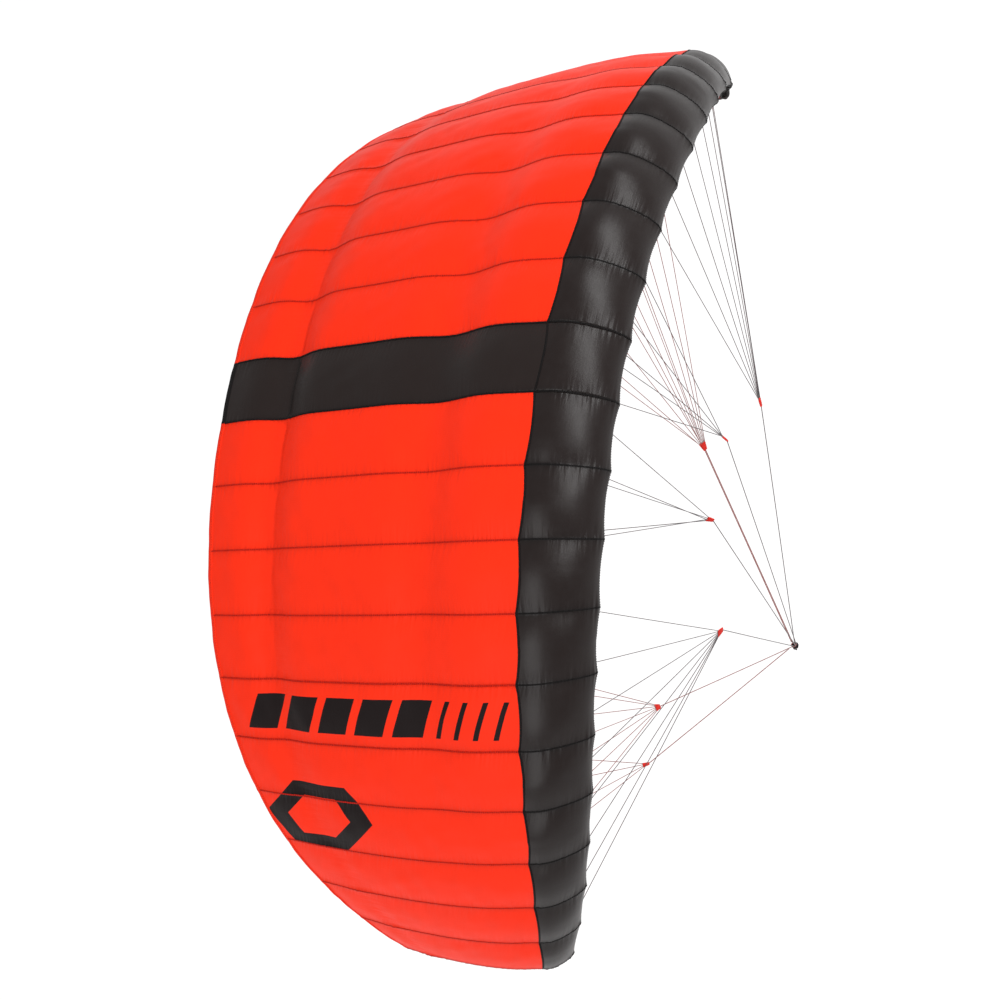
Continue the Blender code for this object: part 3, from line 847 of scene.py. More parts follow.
class KiteCloth(bpy.types.PropertyGroup):
    """Shape of the inflated cloth."""

    nose_puff: bpy.props.FloatProperty(
        name="Nose puff", description="Crown of a cell behind the nose, over the cell's width",
        default=0.100, min=0.0, max=0.3, subtype="FACTOR")
    rear_puff: bpy.props.FloatProperty(
        name="Rear puff", description="Crown of a cell over the rest of the chord, over the cell's width",
        default=0.055, min=0.0, max=0.3, subtype="FACTOR")
    belly_puff: bpy.props.FloatProperty(
        name="Belly puff", description="Crown of a cell on the belly, over the cell's width",
        default=0.045, min=0.0, max=0.3, subtype="FACTOR")
    nose_scallop: bpy.props.FloatProperty(
        name="Nose scallop", description="How far the nose is drawn in between ribs, over the cell's width",
        default=0.040, min=0.0, max=0.3, subtype="FACTOR")
    pucker: bpy.props.FloatProperty(
        name="Pucker", description="Depth of the puckers beside the seams", default=0.0012, unit="LENGTH")
    crease_depth: bpy.props.FloatProperty(
        name="Crease depth", description="Depth of the crease across the top", default=0.0062,
        unit="LENGTH")
    tip_bulge: bpy.props.FloatProperty(
        name="Tip bulge", description="How far the end walls curl out and in", default=0.026,
        unit="LENGTH")
    thickness: bpy.props.FloatProperty(
        name="Thickness", description="Thickness of a skin's cloth", default=0.0005, unit="LENGTH")
    cell_steps: bpy.props.IntProperty(
        name="Cell steps", description="Faces across one cell", default=16, min=4)
    chord_steps: bpy.props.IntProperty(
        name="Chord steps", description="Faces along the top skin", default=260, min=20)


class KiteColours(bpy.types.PropertyGroup):
    """Colours of the cloth, tape and lines."""

    red: bpy.props.FloatVectorProperty(
        name="Red cloth", description="Main panels", default=(0.90, 0.0275, 0.0055), size=3, subtype="COLOR")
    black: bpy.props.FloatVectorProperty(
        name="Black cloth", description="Leading-edge band", default=(0.0100, 0.0055, 0.0048), size=3,
        subtype="COLOR")
    # The stripe is the black cloth made lighter: painted light, where the stripe faces the light.
    stripe: bpy.props.FloatVectorProperty(
        name="Stripe cloth", description="Centre stripe", default=(0.0165, 0.0110, 0.0100), size=3,
        subtype="COLOR")
    black_worn: bpy.props.FloatVectorProperty(
        name="Worn black", description="Black cloth where it is rubbed", default=(0.018, 0.014, 0.014),
        size=3, subtype="COLOR")
    mark: bpy.props.FloatVectorProperty(
        name="Print", description="Plain printed marks", default=(0.010, 0.006, 0.006), size=3,
        subtype="COLOR")
    rib: bpy.props.FloatVectorProperty(
        name="Rib cloth", description="Ribs inside the cells", default=(0.74, 0.74, 0.72), size=3,
        subtype="COLOR")
    # The seam tape is the red cloth made darker: painted shade of the groove along each seam.
    shade_darkened_red_tape: bpy.props.FloatVectorProperty(
        name="Red tape", description="Seams and hems of the red cloth", default=(0.60, 0.014, 0.004),
        size=3, subtype="COLOR")
    black_tape: bpy.props.FloatVectorProperty(
        name="Black tape", description="Seams and bindings of the black cloth",
        default=(0.006, 0.005, 0.005), size=3, subtype="COLOR")
    dark_thread: bpy.props.FloatVectorProperty(
        name="Dark thread", description="Thread on the red cloth", default=(0.24, 0.006, 0.003), size=3,
        subtype="COLOR")
    grey_thread: bpy.props.FloatVectorProperty(
        name="Grey thread", description="Thread on the black cloth", default=(0.012, 0.010, 0.010), size=3,
        subtype="COLOR")
    grey_line: bpy.props.FloatVectorProperty(
        name="Grey line", description="Sheath of the front lines", default=(0.07, 0.07, 0.075), size=3,
        subtype="COLOR")
    red_line: bpy.props.FloatVectorProperty(
        name="Red line", description="Sheath of the rear and brake lines", default=(0.30, 0.085, 0.075),
        size=3, subtype="COLOR")
    sleeve: bpy.props.FloatVectorProperty(
        name="Sleeve", description="Sewn sleeves of the line joints", default=(0.75, 0.03, 0.02), size=3,
        subtype="COLOR")
    webbing: bpy.props.FloatVectorProperty(
        name="Webbing", description="Tow tab, tie loops and pigtails", default=(0.016, 0.012, 0.014),
        size=3, subtype="COLOR")


class KiteMarks(bpy.types.PropertyGroup):
    """Plain printed marks on the left half, placed in metres across and along the cloth."""

    row_station: bpy.props.FloatProperty(
        name="Row station", description="Middle of the row of blocks, across the span", default=-0.832,
        unit="LENGTH")
    row_start: bpy.props.FloatProperty(
        name="Row start", description="Front end of the row, from the nose", default=0.245, unit="LENGTH")
    row_height: bpy.props.FloatProperty(
        name="Row height", description="Height of the blocks, across the span", default=0.092,
        unit="LENGTH")
    block: bpy.props.FloatProperty(
        name="Block", description="Length of a wide block", default=0.098, unit="LENGTH")
    gap: bpy.props.FloatProperty(
        name="Gap", description="Gap between wide blocks", default=0.030, unit="LENGTH")
    bar: bpy.props.FloatProperty(
        name="Bar", description="Length of a thin bar", default=0.016, unit="LENGTH")
    bar_gap: bpy.props.FloatProperty(
        name="Bar gap", description="Gap behind each thin bar", default=0.045, unit="LENGTH")
    blocks: bpy.props.IntProperty(name="Blocks", description="Number of wide blocks", default=5, min=0)
    bars: bpy.props.IntProperty(name="Bars", description="Number of thin bars", default=4, min=0)
    slant: bpy.props.FloatProperty(
        name="Slant", description="Lean of the blocks, length per height", default=0.35)
    hexagon_station: bpy.props.FloatProperty(
        name="Hexagon station", description="Middle of the hexagon, across the span", default=-1.118,
        unit="LENGTH")
    hexagon_place: bpy.props.FloatProperty(
        name="Hexagon place", description="Middle of the hexagon, from the nose", default=0.865,
        unit="LENGTH")
    hexagon_radius: bpy.props.FloatProperty(
        name="Hexagon radius", description="Half its height, to the middle of its stroke", default=0.078,
        unit="LENGTH")
    hexagon_reach: bpy.props.FloatProperty(
        name="Hexagon reach", description="Stretches the hexagon along the chord", default=0.135,
        unit="LENGTH")
    hexagon_width: bpy.props.FloatProperty(
        name="Hexagon width", description="Width of its stroke", default=0.040, unit="LENGTH")


class KiteBridle(bpy.types.PropertyGroup):
    """Line sizes."""

    line: bpy.props.FloatProperty(
        name="Upper line", description="Diameter of the upper lines", default=0.0020, unit="LENGTH")
    main: bpy.props.FloatProperty(
        name="Main line", description="Diameter of the main lines", default=0.0025, unit="LENGTH")
    sag: bpy.props.FloatProperty(
        name="Sag", description="Sag of a taut line over its length", default=0.0015, subtype="FACTOR")


class KiteStage(bpy.types.PropertyGroup):
    """Camera, floor and light."""

    lens: bpy.props.FloatProperty(
        name="Lens", description="Focal length in millimetres", default=161.62, min=20.0)
    floor_drop: bpy.props.FloatProperty(
        name="Floor drop", description="How far the floor lies below the tow point", default=1.6,
        unit="LENGTH")
    key_power: bpy.props.FloatProperty(
        name="Key power", description="Power of the main softbox in watts", default=400.0)
    fill_power: bpy.props.FloatProperty(
        name="Fill power", description="Power of the fill softbox in watts", default=190.0)
    sky: bpy.props.FloatProperty(
        name="Sky", description="Strength of the surrounding light", default=0.50)


# Stage -----------------------------------------------------------------------------------------------

CAMERA_PLACE = (-3.7653, -6.6127, 10.4423)
CAMERA_RIGHT = (0.17937, -0.82350, -0.53821)
CAMERA_UP = (0.93340, -0.03038, 0.35756)
SENSOR = 36.0


class KITE_OT_stage(bpy.types.Operator):
    """Adds the camera, the pale floor and the soft studio light"""

    bl_idname = "kite.stage"
    bl_label = "Camera, floor and light"

    def execute(self, context):
        props = context.scene.kite_stage
        camera = bpy.data.cameras.new("studio_camera")
        camera.lens = props.lens
        camera.sensor_width = SENSOR
        camera.clip_end = 200.0
        eye = link(bpy.data.objects.new("studio_camera", camera))
        right, up = Vector(CAMERA_RIGHT).normalized(), Vector(CAMERA_UP).normalized()
        turned = Matrix((right, up, right.cross(up))).transposed().to_4x4()
        eye.matrix_world = Matrix.Translation(CAMERA_PLACE) @ turned
        context.scene.camera = eye
        context.scene.view_settings.view_transform = "Standard"
        self.add_floor(props.floor_drop)
        self.add_lights(props)
        self.add_sky(context.scene, props.sky)
        return {"FINISHED"}

    def add_floor(self, drop):
        material, g = new_material("pale_floor")
        place = g.node("ShaderNodeTexCoord").outputs["Object"]
        grain = g.noise(place, 3.0, 3.0)
        dent = g.node("ShaderNodeBump", {"Height": grain, "Distance": 0.002})
        shade = g.fit(grain, 0.3, 0.7, 0.30, 0.33)
        colour = g.node("ShaderNodeCombineColor", {"Red": shade, "Green": shade, "Blue": shade})
        shaded(g, {"Base Color": colour.outputs["Color"], "Roughness": 0.8,
                   "Normal": dent.outputs["Normal"], "Emission Color": (1.0, 1.0, 1.0, 1.0),
                   "Emission Strength": 0.78})
        reach = 60.0
        corners = [(-reach, -reach, -drop), (reach, -reach, -drop), (reach, reach, -drop),
                   (-reach, reach, -drop)]
        floor = mesh_object("studio_floor", corners, [(0, 1, 2, 3)], material, smooth=False)

    def add_lights(self, props):
        middle = Vector((0.0, 0.0, 1.2))
        right, up = Vector(CAMERA_RIGHT), Vector(CAMERA_UP)
        back = right.cross(up)
        boxes = {
            "key_softbox": (props.key_power, up * 0.62 + back * 0.74 + right * 0.22, (9.0, 1.7)),
            "fill_softbox": (props.fill_power, back * 0.8 - up * 0.55 - right * 0.6, (6.0, 4.0)),
        }
        for name, (power, direction, size) in boxes.items():
            light = bpy.data.lights.new(name, "AREA")
            light.shape = "RECTANGLE"
            light.size, light.size_y = size
            light.energy = power
            lamp = link(bpy.data.objects.new(name, light))
            out = direction.normalized()
            along = (up - out * up.dot(out)).normalized()
            turned = Matrix((along, out.cross(along), out)).transposed().to_4x4()
            lamp.matrix_world = Matrix.Translation(middle + out * 6.5) @ turned

    def add_sky(self, scene, strength):
        world = bpy.data.worlds.new("studio_world")
        world.use_nodes = True
        g = Graph(world.node_tree)
        glow = g.node("ShaderNodeBackground", {"Color": (1.0, 1.0, 1.0, 1.0), "Strength": strength})
        out = g.node("ShaderNodeOutputWorld")
        g.feed(out.inputs["Surface"], glow.outputs["Background"])
        scene.world = world


# Bridle ----------------------------------------------------------------------------------------------

def mirrored(point, side):
    return Vector((point[0] * side, point[1], point[2]))


def tie_point(side, rib, x):
    return lay_one(side * STATIONS[rib], -math.sqrt(x), TIE_GAP)


def fan_frame(node, ties):
    """Upward axis of a sleeve, and the direction in which its lines fan out."""
    up = (sum(ties, Vector()) / len(ties) - node).normalized()
    widest = max(((b - a) for a in ties for b in ties), key=lambda v: v.length)
    return up, (widest - up * widest.dot(up)).normalized()


def fan_routes(fan, side):
    """The sleeve's frame, and (start on the sleeve, end at the canopy) of each of its upper lines."""
    node = mirrored(FAN_NODES[fan], side)
    ties = [tie_point(side, rib, x) for rib, x in FAN_TIES[fan]]
    up, across = fan_frame(node, ties)
    ties.sort(key=lambda p: p.dot(across))
    top = node + up * SLEEVE_LENGTH / 2
    routes = []
    for i, tie in enumerate(ties):
        shift = (i - (len(ties) - 1) / 2) * LINE_PITCH
        routes.append((top + across * shift - up * 0.004, tie))
    return node, up, across, routes


def main_route(fan, side, node, up):
    if fan == "brake":
        stagger = BRAKE_STAGGER if side < 0 else 0.0
        end = mirrored(BRAKE_END, side) + Vector((0, stagger, 0))
    else:
        x, y = MAIN_ENDS[fan]
        end = Vector((side * x, y, TAB_SIZE[2] + 0.0008))
    return node - up * (SLEEVE_LENGTH / 2 - 0.002), end


def taut_route(start, end, sag, steps=16):
    """Points of a taut line with a slight sag."""
    length = (end - start).length
    drop = Vector((0, 0, -sag * length))
    return [start.lerp(end, k / steps) + drop * 4 * (k / steps) * (1 - k / steps) for k in range(steps + 1)]


def cord_mesh(name, route, diameter, material):
    points, faces = tube_parts(route, [diameter / 2] * len(route), 8)
    return mesh_object(name, points, faces, material)


class KITE_OT_bridle(bpy.types.Operator):
    """Adds the main lines, the upper lines and the sewn sleeves that join them"""

    bl_idname = "kite.bridle"
    bl_label = "Bridle lines"

    def execute(self, context):
        props = context.scene.kite_bridle
        colours = context.scene.kite_colours
        grey = line_material("grey_sheath", colours.grey_line)
        red = line_material("red_sheath", colours.red_line)
        cords = []
        for word, side in SIDES.items():
            for fan in FAN_NODES:
                sheath = red if fan in ("rear", "brake") else grey
                body = f"brake_bridle_{word}" if fan == "brake" else "canopy"
                node, up, across, routes = fan_routes(fan, side)
                for k, (start, tie) in enumerate(routes):
                    route = taut_route(tie, start, props.sag)
                    name = f"{fan}_upper_line_{word}_{k + 1}"
                    line = cord_mesh(name, route, props.line, sheath)
                    if fan == "brake":
                        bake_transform(line, f"flap_{word}", body, tie, tie.lerp(start, 0.25))
                    else:
                        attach(line, body)
                    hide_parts(f"{fan}_fan_{word}")
                    cords.append((line, route, props.line))
                route = taut_route(*main_route(fan, side, node, up), props.sag, 40)
                line = cord_mesh(f"{fan}_main_{word}", route, props.main, sheath)
                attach(line, body)
                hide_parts(f"{fan}_main_line_{word}")
                cords.append((line, route, props.main))
                self.add_sleeve(fan, word, node, up, across, len(routes), body)
        self.declare(cords)
        return {"FINISHED"}

    def declare(self, cords):
        def run(cord):
            return sum((b - a).length for a, b in zip(cord[1], cord[1][1:]))

    def add_sleeve(self, fan, word, node, up, across, count, body):
        """Flat sewn sleeve with rounded sides, drawn in at its ends, and its rows of stitches."""
        colours = bpy.context.scene.kite_colours
        through = up.cross(across)
        half = LINE_PITCH * (count - 1) / 2 + 0.0026
        rings, sides = 12, 20
        points, faces = [], []
        for i in range(rings + 1):
            share = i / rings
            swell = 0.72 + 0.28 * math.sin(math.pi * min(1.0, max(0.0, 1.1 * share - 0.05))) ** 0.5
            width = half * (0.62 + 0.38 * share)
            for k in range(sides):
                a = 2 * math.pi * k / sides
                flat = math.copysign(abs(math.cos(a)) ** 0.6, math.cos(a)) * width
                deep = math.copysign(abs(math.sin(a)) ** 0.8, math.sin(a)) * 0.0026 * swell
                points.append(node + up * (share - 0.5) * SLEEVE_LENGTH + across * flat + through * deep)
        for i in range(rings):
            for k in range(sides):
                n = (k + 1) % sides
                faces.append((i * sides + k, i * sides + n, (i + 1) * sides + n, (i + 1) * sides + k))
        faces.append(tuple(reversed(range(sides))))
        faces.append(tuple(range(rings * sides, (rings + 1) * sides)))
        sleeve = mesh_object(f"{fan}_sleeve_{word}", points, faces, tape_material("sleeve", colours.sleeve))
        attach(sleeve, body)
        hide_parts(f"{fan}_fan_{word}")
        rows = []
        for sense in (1, -1):
            facing = through * sense
            for share in (-0.36, -0.12, 0.12, 0.36):
                middle = node + up * share * SLEEVE_LENGTH + facing * 0.0025
                width = across * half * (0.55 + 0.38 * (share + 0.5))
                rows.append([(middle - width, facing), (middle + width, facing)])
        thread = thread_material("grey_thread", colours.grey_thread)
        tack = stitches(f"{fan}_sleeve_stitches_{word}", rows, thread, 0.0018, 0.0015, 0.0006)
        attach(tack, body)


# Canopy pieces ---------------------------------------------------------------------------------------

class KITE_OT_top_cloth(bpy.types.Operator):
    """Adds the top skin: red cells on both sides of the dark centre stripe"""

    bl_idname = "kite.top_cloth"
    bl_label = "Top cloth"

    def execute(self, context):
        props = context.scene.kite_cloth
        stops = top_stops(BAND_END, 1.0, props.chord_steps)
        stations = centre_stations(props.cell_steps)
        stripe = sheet_mesh("centre_stripe_cloth", stations, stops, lit_stripe_cloth(), props.thickness)
        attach(stripe, "canopy")
        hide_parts("centre_stripe")
        for word, side in SIDES.items():
            for zone, (first, last) in ZONES.items():
                marked = word == "left" and zone != "inner"
                stations = cell_stations(side, first, last, props.cell_steps)
                cloth = sheet_mesh(f"top_cloth_{zone}_{word}", stations, stops, red_cloth(marked),
                                   props.thickness)
                hang(cloth, zone, word)
                if zone == "inner":
                    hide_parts(f"top_skin_inner_{word}")
                else:
                    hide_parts(f"top_skin_outer_{word}", f"trailing_flap_{word}")
        return {"FINISHED"}


def centre_stations(steps):
    outer = np.array([0.5 * (1 - math.cos(math.pi * k / steps)) for k in range(steps + 1)])
    even = np.linspace(0, 1, steps + 1)
    return STATIONS[0] * (2 * (0.55 * even + 0.45 * outer) - 1)


class KITE_OT_nose_band(bpy.types.Operator):
    """Adds the black leading-edge band that wraps the nose"""

    bl_idname = "kite.nose_band"
    bl_label = "Leading-edge band"

    def execute(self, context):
        props = context.scene.kite_cloth
        stops = np.linspace(-math.sqrt(LIP_TOP), math.sqrt(BAND_END), 69)
        groups = [("centre", centre_stations(props.cell_steps), ["centre_nose_band"])]
        for word, side in SIDES.items():
            nodes = [f"nose_band_inner_{word}", f"nose_band_outer_{word}"]
            groups.append((word, cell_stations(side, 0, HALF_CELLS, props.cell_steps), nodes))
        for word, stations, nodes in groups:
            cloth = sheet_mesh(f"nose_cloth_{word}", stations, stops, black_cloth(), props.thickness)
            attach(cloth, "canopy")
            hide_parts(*nodes)
        return {"FINISHED"}


class KITE_OT_belly(bpy.types.Operator):
    """Adds the belly skin behind the air inlets"""

    bl_idname = "kite.belly"
    bl_label = "Belly cloth"

    def execute(self, context):
        props = context.scene.kite_cloth
        stops = -top_stops(LIP_BOTTOM, 1.0, props.chord_steps // 2)
        stations = centre_stations(props.cell_steps)
        pieces = [("centre", None, stations, ["centre_belly"])]
        for word, side in SIDES.items():
            for zone, (first, last) in ZONES.items():
                node = "inner" if zone == "inner" else "outer"
                stations = cell_stations(side, first, last, props.cell_steps)
                pieces.append((zone, word, stations, [f"belly_skin_{node}_{word}"]))
        for zone, word, stations, nodes in pieces:
            name = f"belly_cloth_{zone}" + (f"_{word}" if word else "")
            cloth = sheet_mesh(name, stations, stops, red_cloth(), props.thickness)
            hang(cloth, "inner" if zone == "centre" else zone, word)
            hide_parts(*nodes)
        return {"FINISHED"}


class KITE_OT_inlet_nets(bpy.types.Operator):
    """Adds the open nets across the air inlets"""

    bl_idname = "kite.inlet_nets"
    bl_label = "Inlet nets"

    def execute(self, context):
        black = tape_material("net_strand", context.scene.kite_colours.black_tape)
        stops = np.linspace(-math.sqrt(LIP_BOTTOM), -math.sqrt(LIP_TOP), 10)
        for word, side in SIDES.items():
            count = int(HALF_SPAN / 0.006)
            stations = side * np.linspace(0.0, HALF_SPAN, count + 1)
            s, t = np.meshgrid(stations, stops, indexing="ij")
            points = lay(s, t, puffed(s, t)).reshape(-1, 3)
            columns = len(stops)
            edges = []
            for i in range(count + 1):
                for j in range(columns):
                    here = i * columns + j
                    if i < count:
                        edges.append((here, here + columns))
                    if j + 1 < columns:
                        edges.append((here, here + 1))
            mesh = bpy.data.meshes.new("guide")
            mesh.from_pydata([tuple(p) for p in points], edges, [])
            guide = link(bpy.data.objects.new("guide", mesh))
            net = grown(f"inlet_net_{word}", guide, net_tree(), {"Strand": 0.0009, "Material": black})
            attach(net, "canopy")
            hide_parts(f"inlet_mesh_{word}")
        return {"FINISHED"}


class KITE_OT_ribs(bpy.types.Operator):
    """Finishes the white ribs and closes each tip with a full panel"""

    bl_idname = "kite.ribs"
    bl_label = "Ribs and tips"

    def execute(self, context):
        for word, side in SIDES.items():
            for rib in range(HALF_CELLS):
                node = frame["nodes"][f"rib_{word}_{rib:02d}"]
                node.data.materials.clear()
                node.data.materials.append(rib_material())
            self.add_tip(word, side)
        return {"FINISHED"}

    def add_tip(self, word, side):
        """Rounded end wall from the top skin to the belly, curling inboard: black nose and red rear."""
        wall = 40
        angle = HALF_SPAN / ARC_RADIUS
        away = np.array([side * math.cos(angle), 0.0, -math.sin(angle)])
        curl = away * 0.75 - np.array([side * 0.66, 0.0, 0.0])
        curl /= np.linalg.norm(curl)
        bulge = bpy.context.scene.kite_cloth.tip_bulge
        nodes = f"rib_{word}_10"
        for label, first, last, cloth in (("nose", 0.0, BAND_END, black_cloth()),
                                          ("tip", BAND_END, 1.0, red_cloth())):
            x = first + (last - first) * np.linspace(0.0, 1.0, wall + 1) ** (2.0 if first == 0 else 1.0)
            station = np.full_like(x, side * HALF_SPAN)
            top, low = (lay(station, t, puffed(station, t)) for t in (np.sqrt(x), -np.sqrt(x)))
            depth = np.linalg.norm(top - low, axis=1)
            share = 0.5 - 0.5 * np.cos(np.pi * np.linspace(0.0, 1.0, 17))
            reach = bulge * np.minimum(1.0, np.sqrt(x / 0.03)) * (1 - x) ** 0.7
            swell = np.outer(reach, np.sin(np.pi * share) ** 0.7)[..., None]
            points = low[:, None] + (top - low)[:, None] * share[:, None] + swell * curl
            faces = []
            for i in range(wall):
                for j in range(16):
                    a = i * 17 + j
                    faces.append((a, a + 1, a + 18, a + 17))
            panel = mesh_object(f"{label}_wall_{word}", points.reshape(-1, 3), faces, cloth)
            if sum((f.normal * f.area for f in panel.data.polygons), Vector()).dot(Vector(away)) < 0:
                panel.data.flip_normals()
            uv = panel.data.uv_layers.new(name="cloth")
            flat = np.stack([np.outer(depth, share), np.outer(x, np.ones(17)) * chord(HALF_SPAN)], -1)
            corners = np.array([loop.vertex_index for loop in panel.data.loops])
            uv.data.foreach_set("uv", flat.reshape(-1, 2)[corners].astype(np.float32).ravel())
            rim = np.outer(depth, np.minimum(share, 1 - share))
            add_floats(panel, "seam_distance", rim)
            add_floats(panel, "crease_distance", rim * 0 + 1.0)
            thicken(panel, bpy.context.scene.kite_cloth.thickness)
            hang(panel, "outer", word)
            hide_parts(nodes)


class KITE_OT_seams(bpy.types.Operator):
    """Adds the felled seams over the ribs, their stitches, the hems and the bindings"""

    bl_idname = "kite.seams"
    bl_label = "Seams and stitches"

    def execute(self, context):
        props = context.scene.kite_cloth
        colours = context.scene.kite_colours
        # The seam tape's darker red is painted shade of the seam's groove.
        self.red = tape_material("shade_darkened_red_tape", colours.shade_darkened_red_tape)
        self.black = tape_material("black_tape", colours.black_tape)
        self.hem = tape_material("hem_fold", colours.red)
        self.dark = thread_material("dark_thread", colours.dark_thread)
        self.grey = thread_material("grey_thread", colours.grey_thread)
        top = top_stops(BAND_END, 0.997, props.chord_steps)
        band = np.linspace(-math.sqrt(LIP_TOP), math.sqrt(BAND_END), 69)
        belly = -top_stops(LIP_BOTTOM, 0.997, 130)
        for word, side in SIDES.items():
            for zone, first, last in (("inner", 1, FLAP_FIRST_RIB), ("outer", FLAP_FIRST_RIB + 1, HALF_CELLS)):
                ribs = [side * STATIONS[rib] for rib in range(first, last + 1)]
                for place, stops in (("top", top), ("belly", belly)):
                    self.add_seams(f"{place}_seams_{zone}_{word}", ribs, stops, self.red, self.dark, zone, word)
            edge = [side * STATIONS[0]]
            self.add_seams(f"stripe_seams_{word}", edge, top, self.black, self.grey, "inner", word)
            self.add_seams(f"belly_seams_centre_{word}", edge, belly, self.red, self.dark, "inner", word)
            ribs = [side * s for s in STATIONS]
            self.add_seams(f"nose_seams_{word}", ribs, band, self.black, self.grey, "inner", word)
        self.add_cross_seams(props)
        self.add_hems(props)
        return {"FINISHED"}

    def add_seams(self, name, ribs, stops, tape, thread, zone, word):
        """Narrow felled seam with a row of stitches on each side of its ridge."""
        half, height = 0.0020, 0.0007
        strips, rows = [], []
        for rib in ribs:
            strips.append(strip_parts([rib - half, rib - half / 2, rib, rib + half / 2, rib + half],
                                      [0.0, height, height * 1.15, height, 0.0], stops))
            rows += [cloth_row(np.full_like(stops, rib + off), stops, height + 0.0004) for off in (-half / 2,
                                                                                                   half / 2)]
        seam = joined(name, strips, tape)
        thicken(seam, 0.0004)
        hang(seam, zone, word)
        sewn = stitches(name.replace("seams", "stitches"), rows, thread)
        hang(sewn, zone, word)

    def add_cross_seams(self, props):
        """Spanwise tapes: behind the nose band, and along both lips of the inlets."""
        steps = props.cell_steps
        stations = np.concatenate([cell_stations(-1, 0, HALF_CELLS, steps)[::-1],
                                   centre_stations(steps)[1:-1], cell_stations(1, 0, HALF_CELLS, steps)])
        for name, middle, half in (("band_rear_tape", math.sqrt(BAND_END), 0.0030),
                                   ("inlet_upper_binding", -math.sqrt(LIP_TOP), 0.0045),
                                   ("inlet_lower_binding", -math.sqrt(LIP_BOTTOM), 0.0045)):
            parts, rows = [], []
            offsets = [-1.0, -0.6, 0.0, 0.6, 1.0]
            heights = [0.0, 0.0008, 0.0009, 0.0008, 0.0]
            grid = []
            for offset, height in zip(offsets, heights):
                stops = shifted(stations, panel_cut(stations, middle), offset * half)
                grid.append(lay(stations, stops, puffed(stations, stops) + height))
            parts.append(grid_parts(grid))
            for offset in (-0.55, 0.55):
                stops = shifted(stations, panel_cut(stations, middle), offset * half)
                rows.append(cloth_row(stations, stops, 0.0012))
            tape = joined(name, parts, self.black)
            thicken(tape, 0.0004)
            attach(tape, "canopy")
            sewn = stitches(name + "_stitches", rows, self.grey)
            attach(sewn, "canopy")

    def add_hems(self, props):
        """Folded hem round the rear edge, with a row of stitches on each face."""
        folds = [(0.9885, 1), (0.9925, 1), (0.9965, 1), (1.0, 1), (1.0, -1), (0.9965, -1), (0.9925, -1),
                 (0.9885, -1)]
        lifts = [0.0, 0.0009, 0.0010, 0.0010, 0.0010, 0.0010, 0.0009, 0.0]
        groups = [("centre", None, centre_stations(props.cell_steps), self.black, self.grey)]
        for word, side in SIDES.items():
            for zone, (first, last) in ZONES.items():
                groups.append((zone, word, cell_stations(side, first, last, props.cell_steps), self.hem,
                               self.dark))
        for zone, word, stations, tape, thread in groups:
            grid = []
            for (x, face), lift in zip(folds, lifts):
                stops = np.full_like(stations, face * math.sqrt(x))
                grid.append(lay(stations, stops, puffed(stations, stops) + lift))
            label = f"{zone}_{word}" if word else zone
            hem = joined(f"rear_hem_{label}", [grid_parts(grid)], tape)
            thicken(hem, 0.0004)
            rows = []
            for face in (1, -1):
                stops = np.full_like(stations, face * math.sqrt(0.9925))
                rows.append(cloth_row(stations, stops, 0.0013))
            sewn = stitches(f"rear_hem_stitches_{label}", rows, thread)
            for piece in (hem, sewn):
                hang(piece, "inner" if zone == "centre" else zone, word)


def shifted(stations, t, metres):
    """The stop a little further round the aerofoil than t."""
    slope = np.gradient(ARC_LENGTH, ARC_T)
    return t + metres / (np.interp(t, ARC_T, slope) * chord(stations))


def strip_parts(stations, heights, stops):
    """(points, faces) of a strip of cloth along the chord."""
    grid = []
    for station, height in zip(stations, heights):
        line = np.full_like(stops, station)
        grid.append(lay(line, stops, puffed(line, stops) + height))
    return grid_parts(grid)


def grid_parts(grid):
    """(points, faces) of a grid given as rows of points, with its faces turned outwards."""
    rows, columns = len(grid), len(grid[0])
    points = np.concatenate(grid)
    faces = []
    for i in range(rows - 1):
        for j in range(columns - 1):
            a = i * columns + j
            faces.append((a, a + columns, a + columns + 1, a + 1))
    corner = points[np.array(faces)]
    normals = np.cross(corner[:, 1] - corner[:, 0], corner[:, 3] - corner[:, 0])
    middle = np.stack([corner[:, 0, 0] * 0, corner[:, 0, 1], corner[:, 0, 2] * 0 + CANOPY_HEIGHT - ARC_RADIUS], 1)
    spread = (corner[:, 0] - middle) * np.array([1, 0, 1])
    across = (normals * spread).sum()
    below = spread_below(points)
    if across * below < 0:
        faces = [face[::-1] for face in faces]
    return points, faces


def spread_below(points):
    """-1 where a strip lies on the belly, which faces the arc's centre, and 1 elsewhere."""
    radius = np.hypot(points[:, 0], points[:, 2] - (CANOPY_HEIGHT - ARC_RADIUS))
    return -1.0 if np.median(radius) < ARC_RADIUS else 1.0


class KITE_OT_tie_loops(bpy.types.Operator):
    """Adds the webbing loops that tie the lines to the belly and the rear edge"""

    bl_idname = "kite.tie_loops"
    bl_label = "Tie loops"

    def execute(self, context):
        webbing = tape_material("webbing_weave", context.scene.kite_colours.webbing)
        for word, side in SIDES.items():
            fixed, moving = [], []
            for fan, ties in FAN_TIES.items():
                node, _, _, _ = fan_routes(fan, side)
                for rib, x in ties:
                    parts = loop_parts(tie_point(side, rib, x), node, side, rib)
                    (moving if fan == "brake" else fixed).append(parts)
            loops = joined(f"tie_loops_{word}", fixed, webbing)
            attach(loops, "canopy")
            rear = joined(f"brake_tie_loops_{word}", moving, webbing)
            hang(rear, "outer", word)
        return {"FINISHED"}


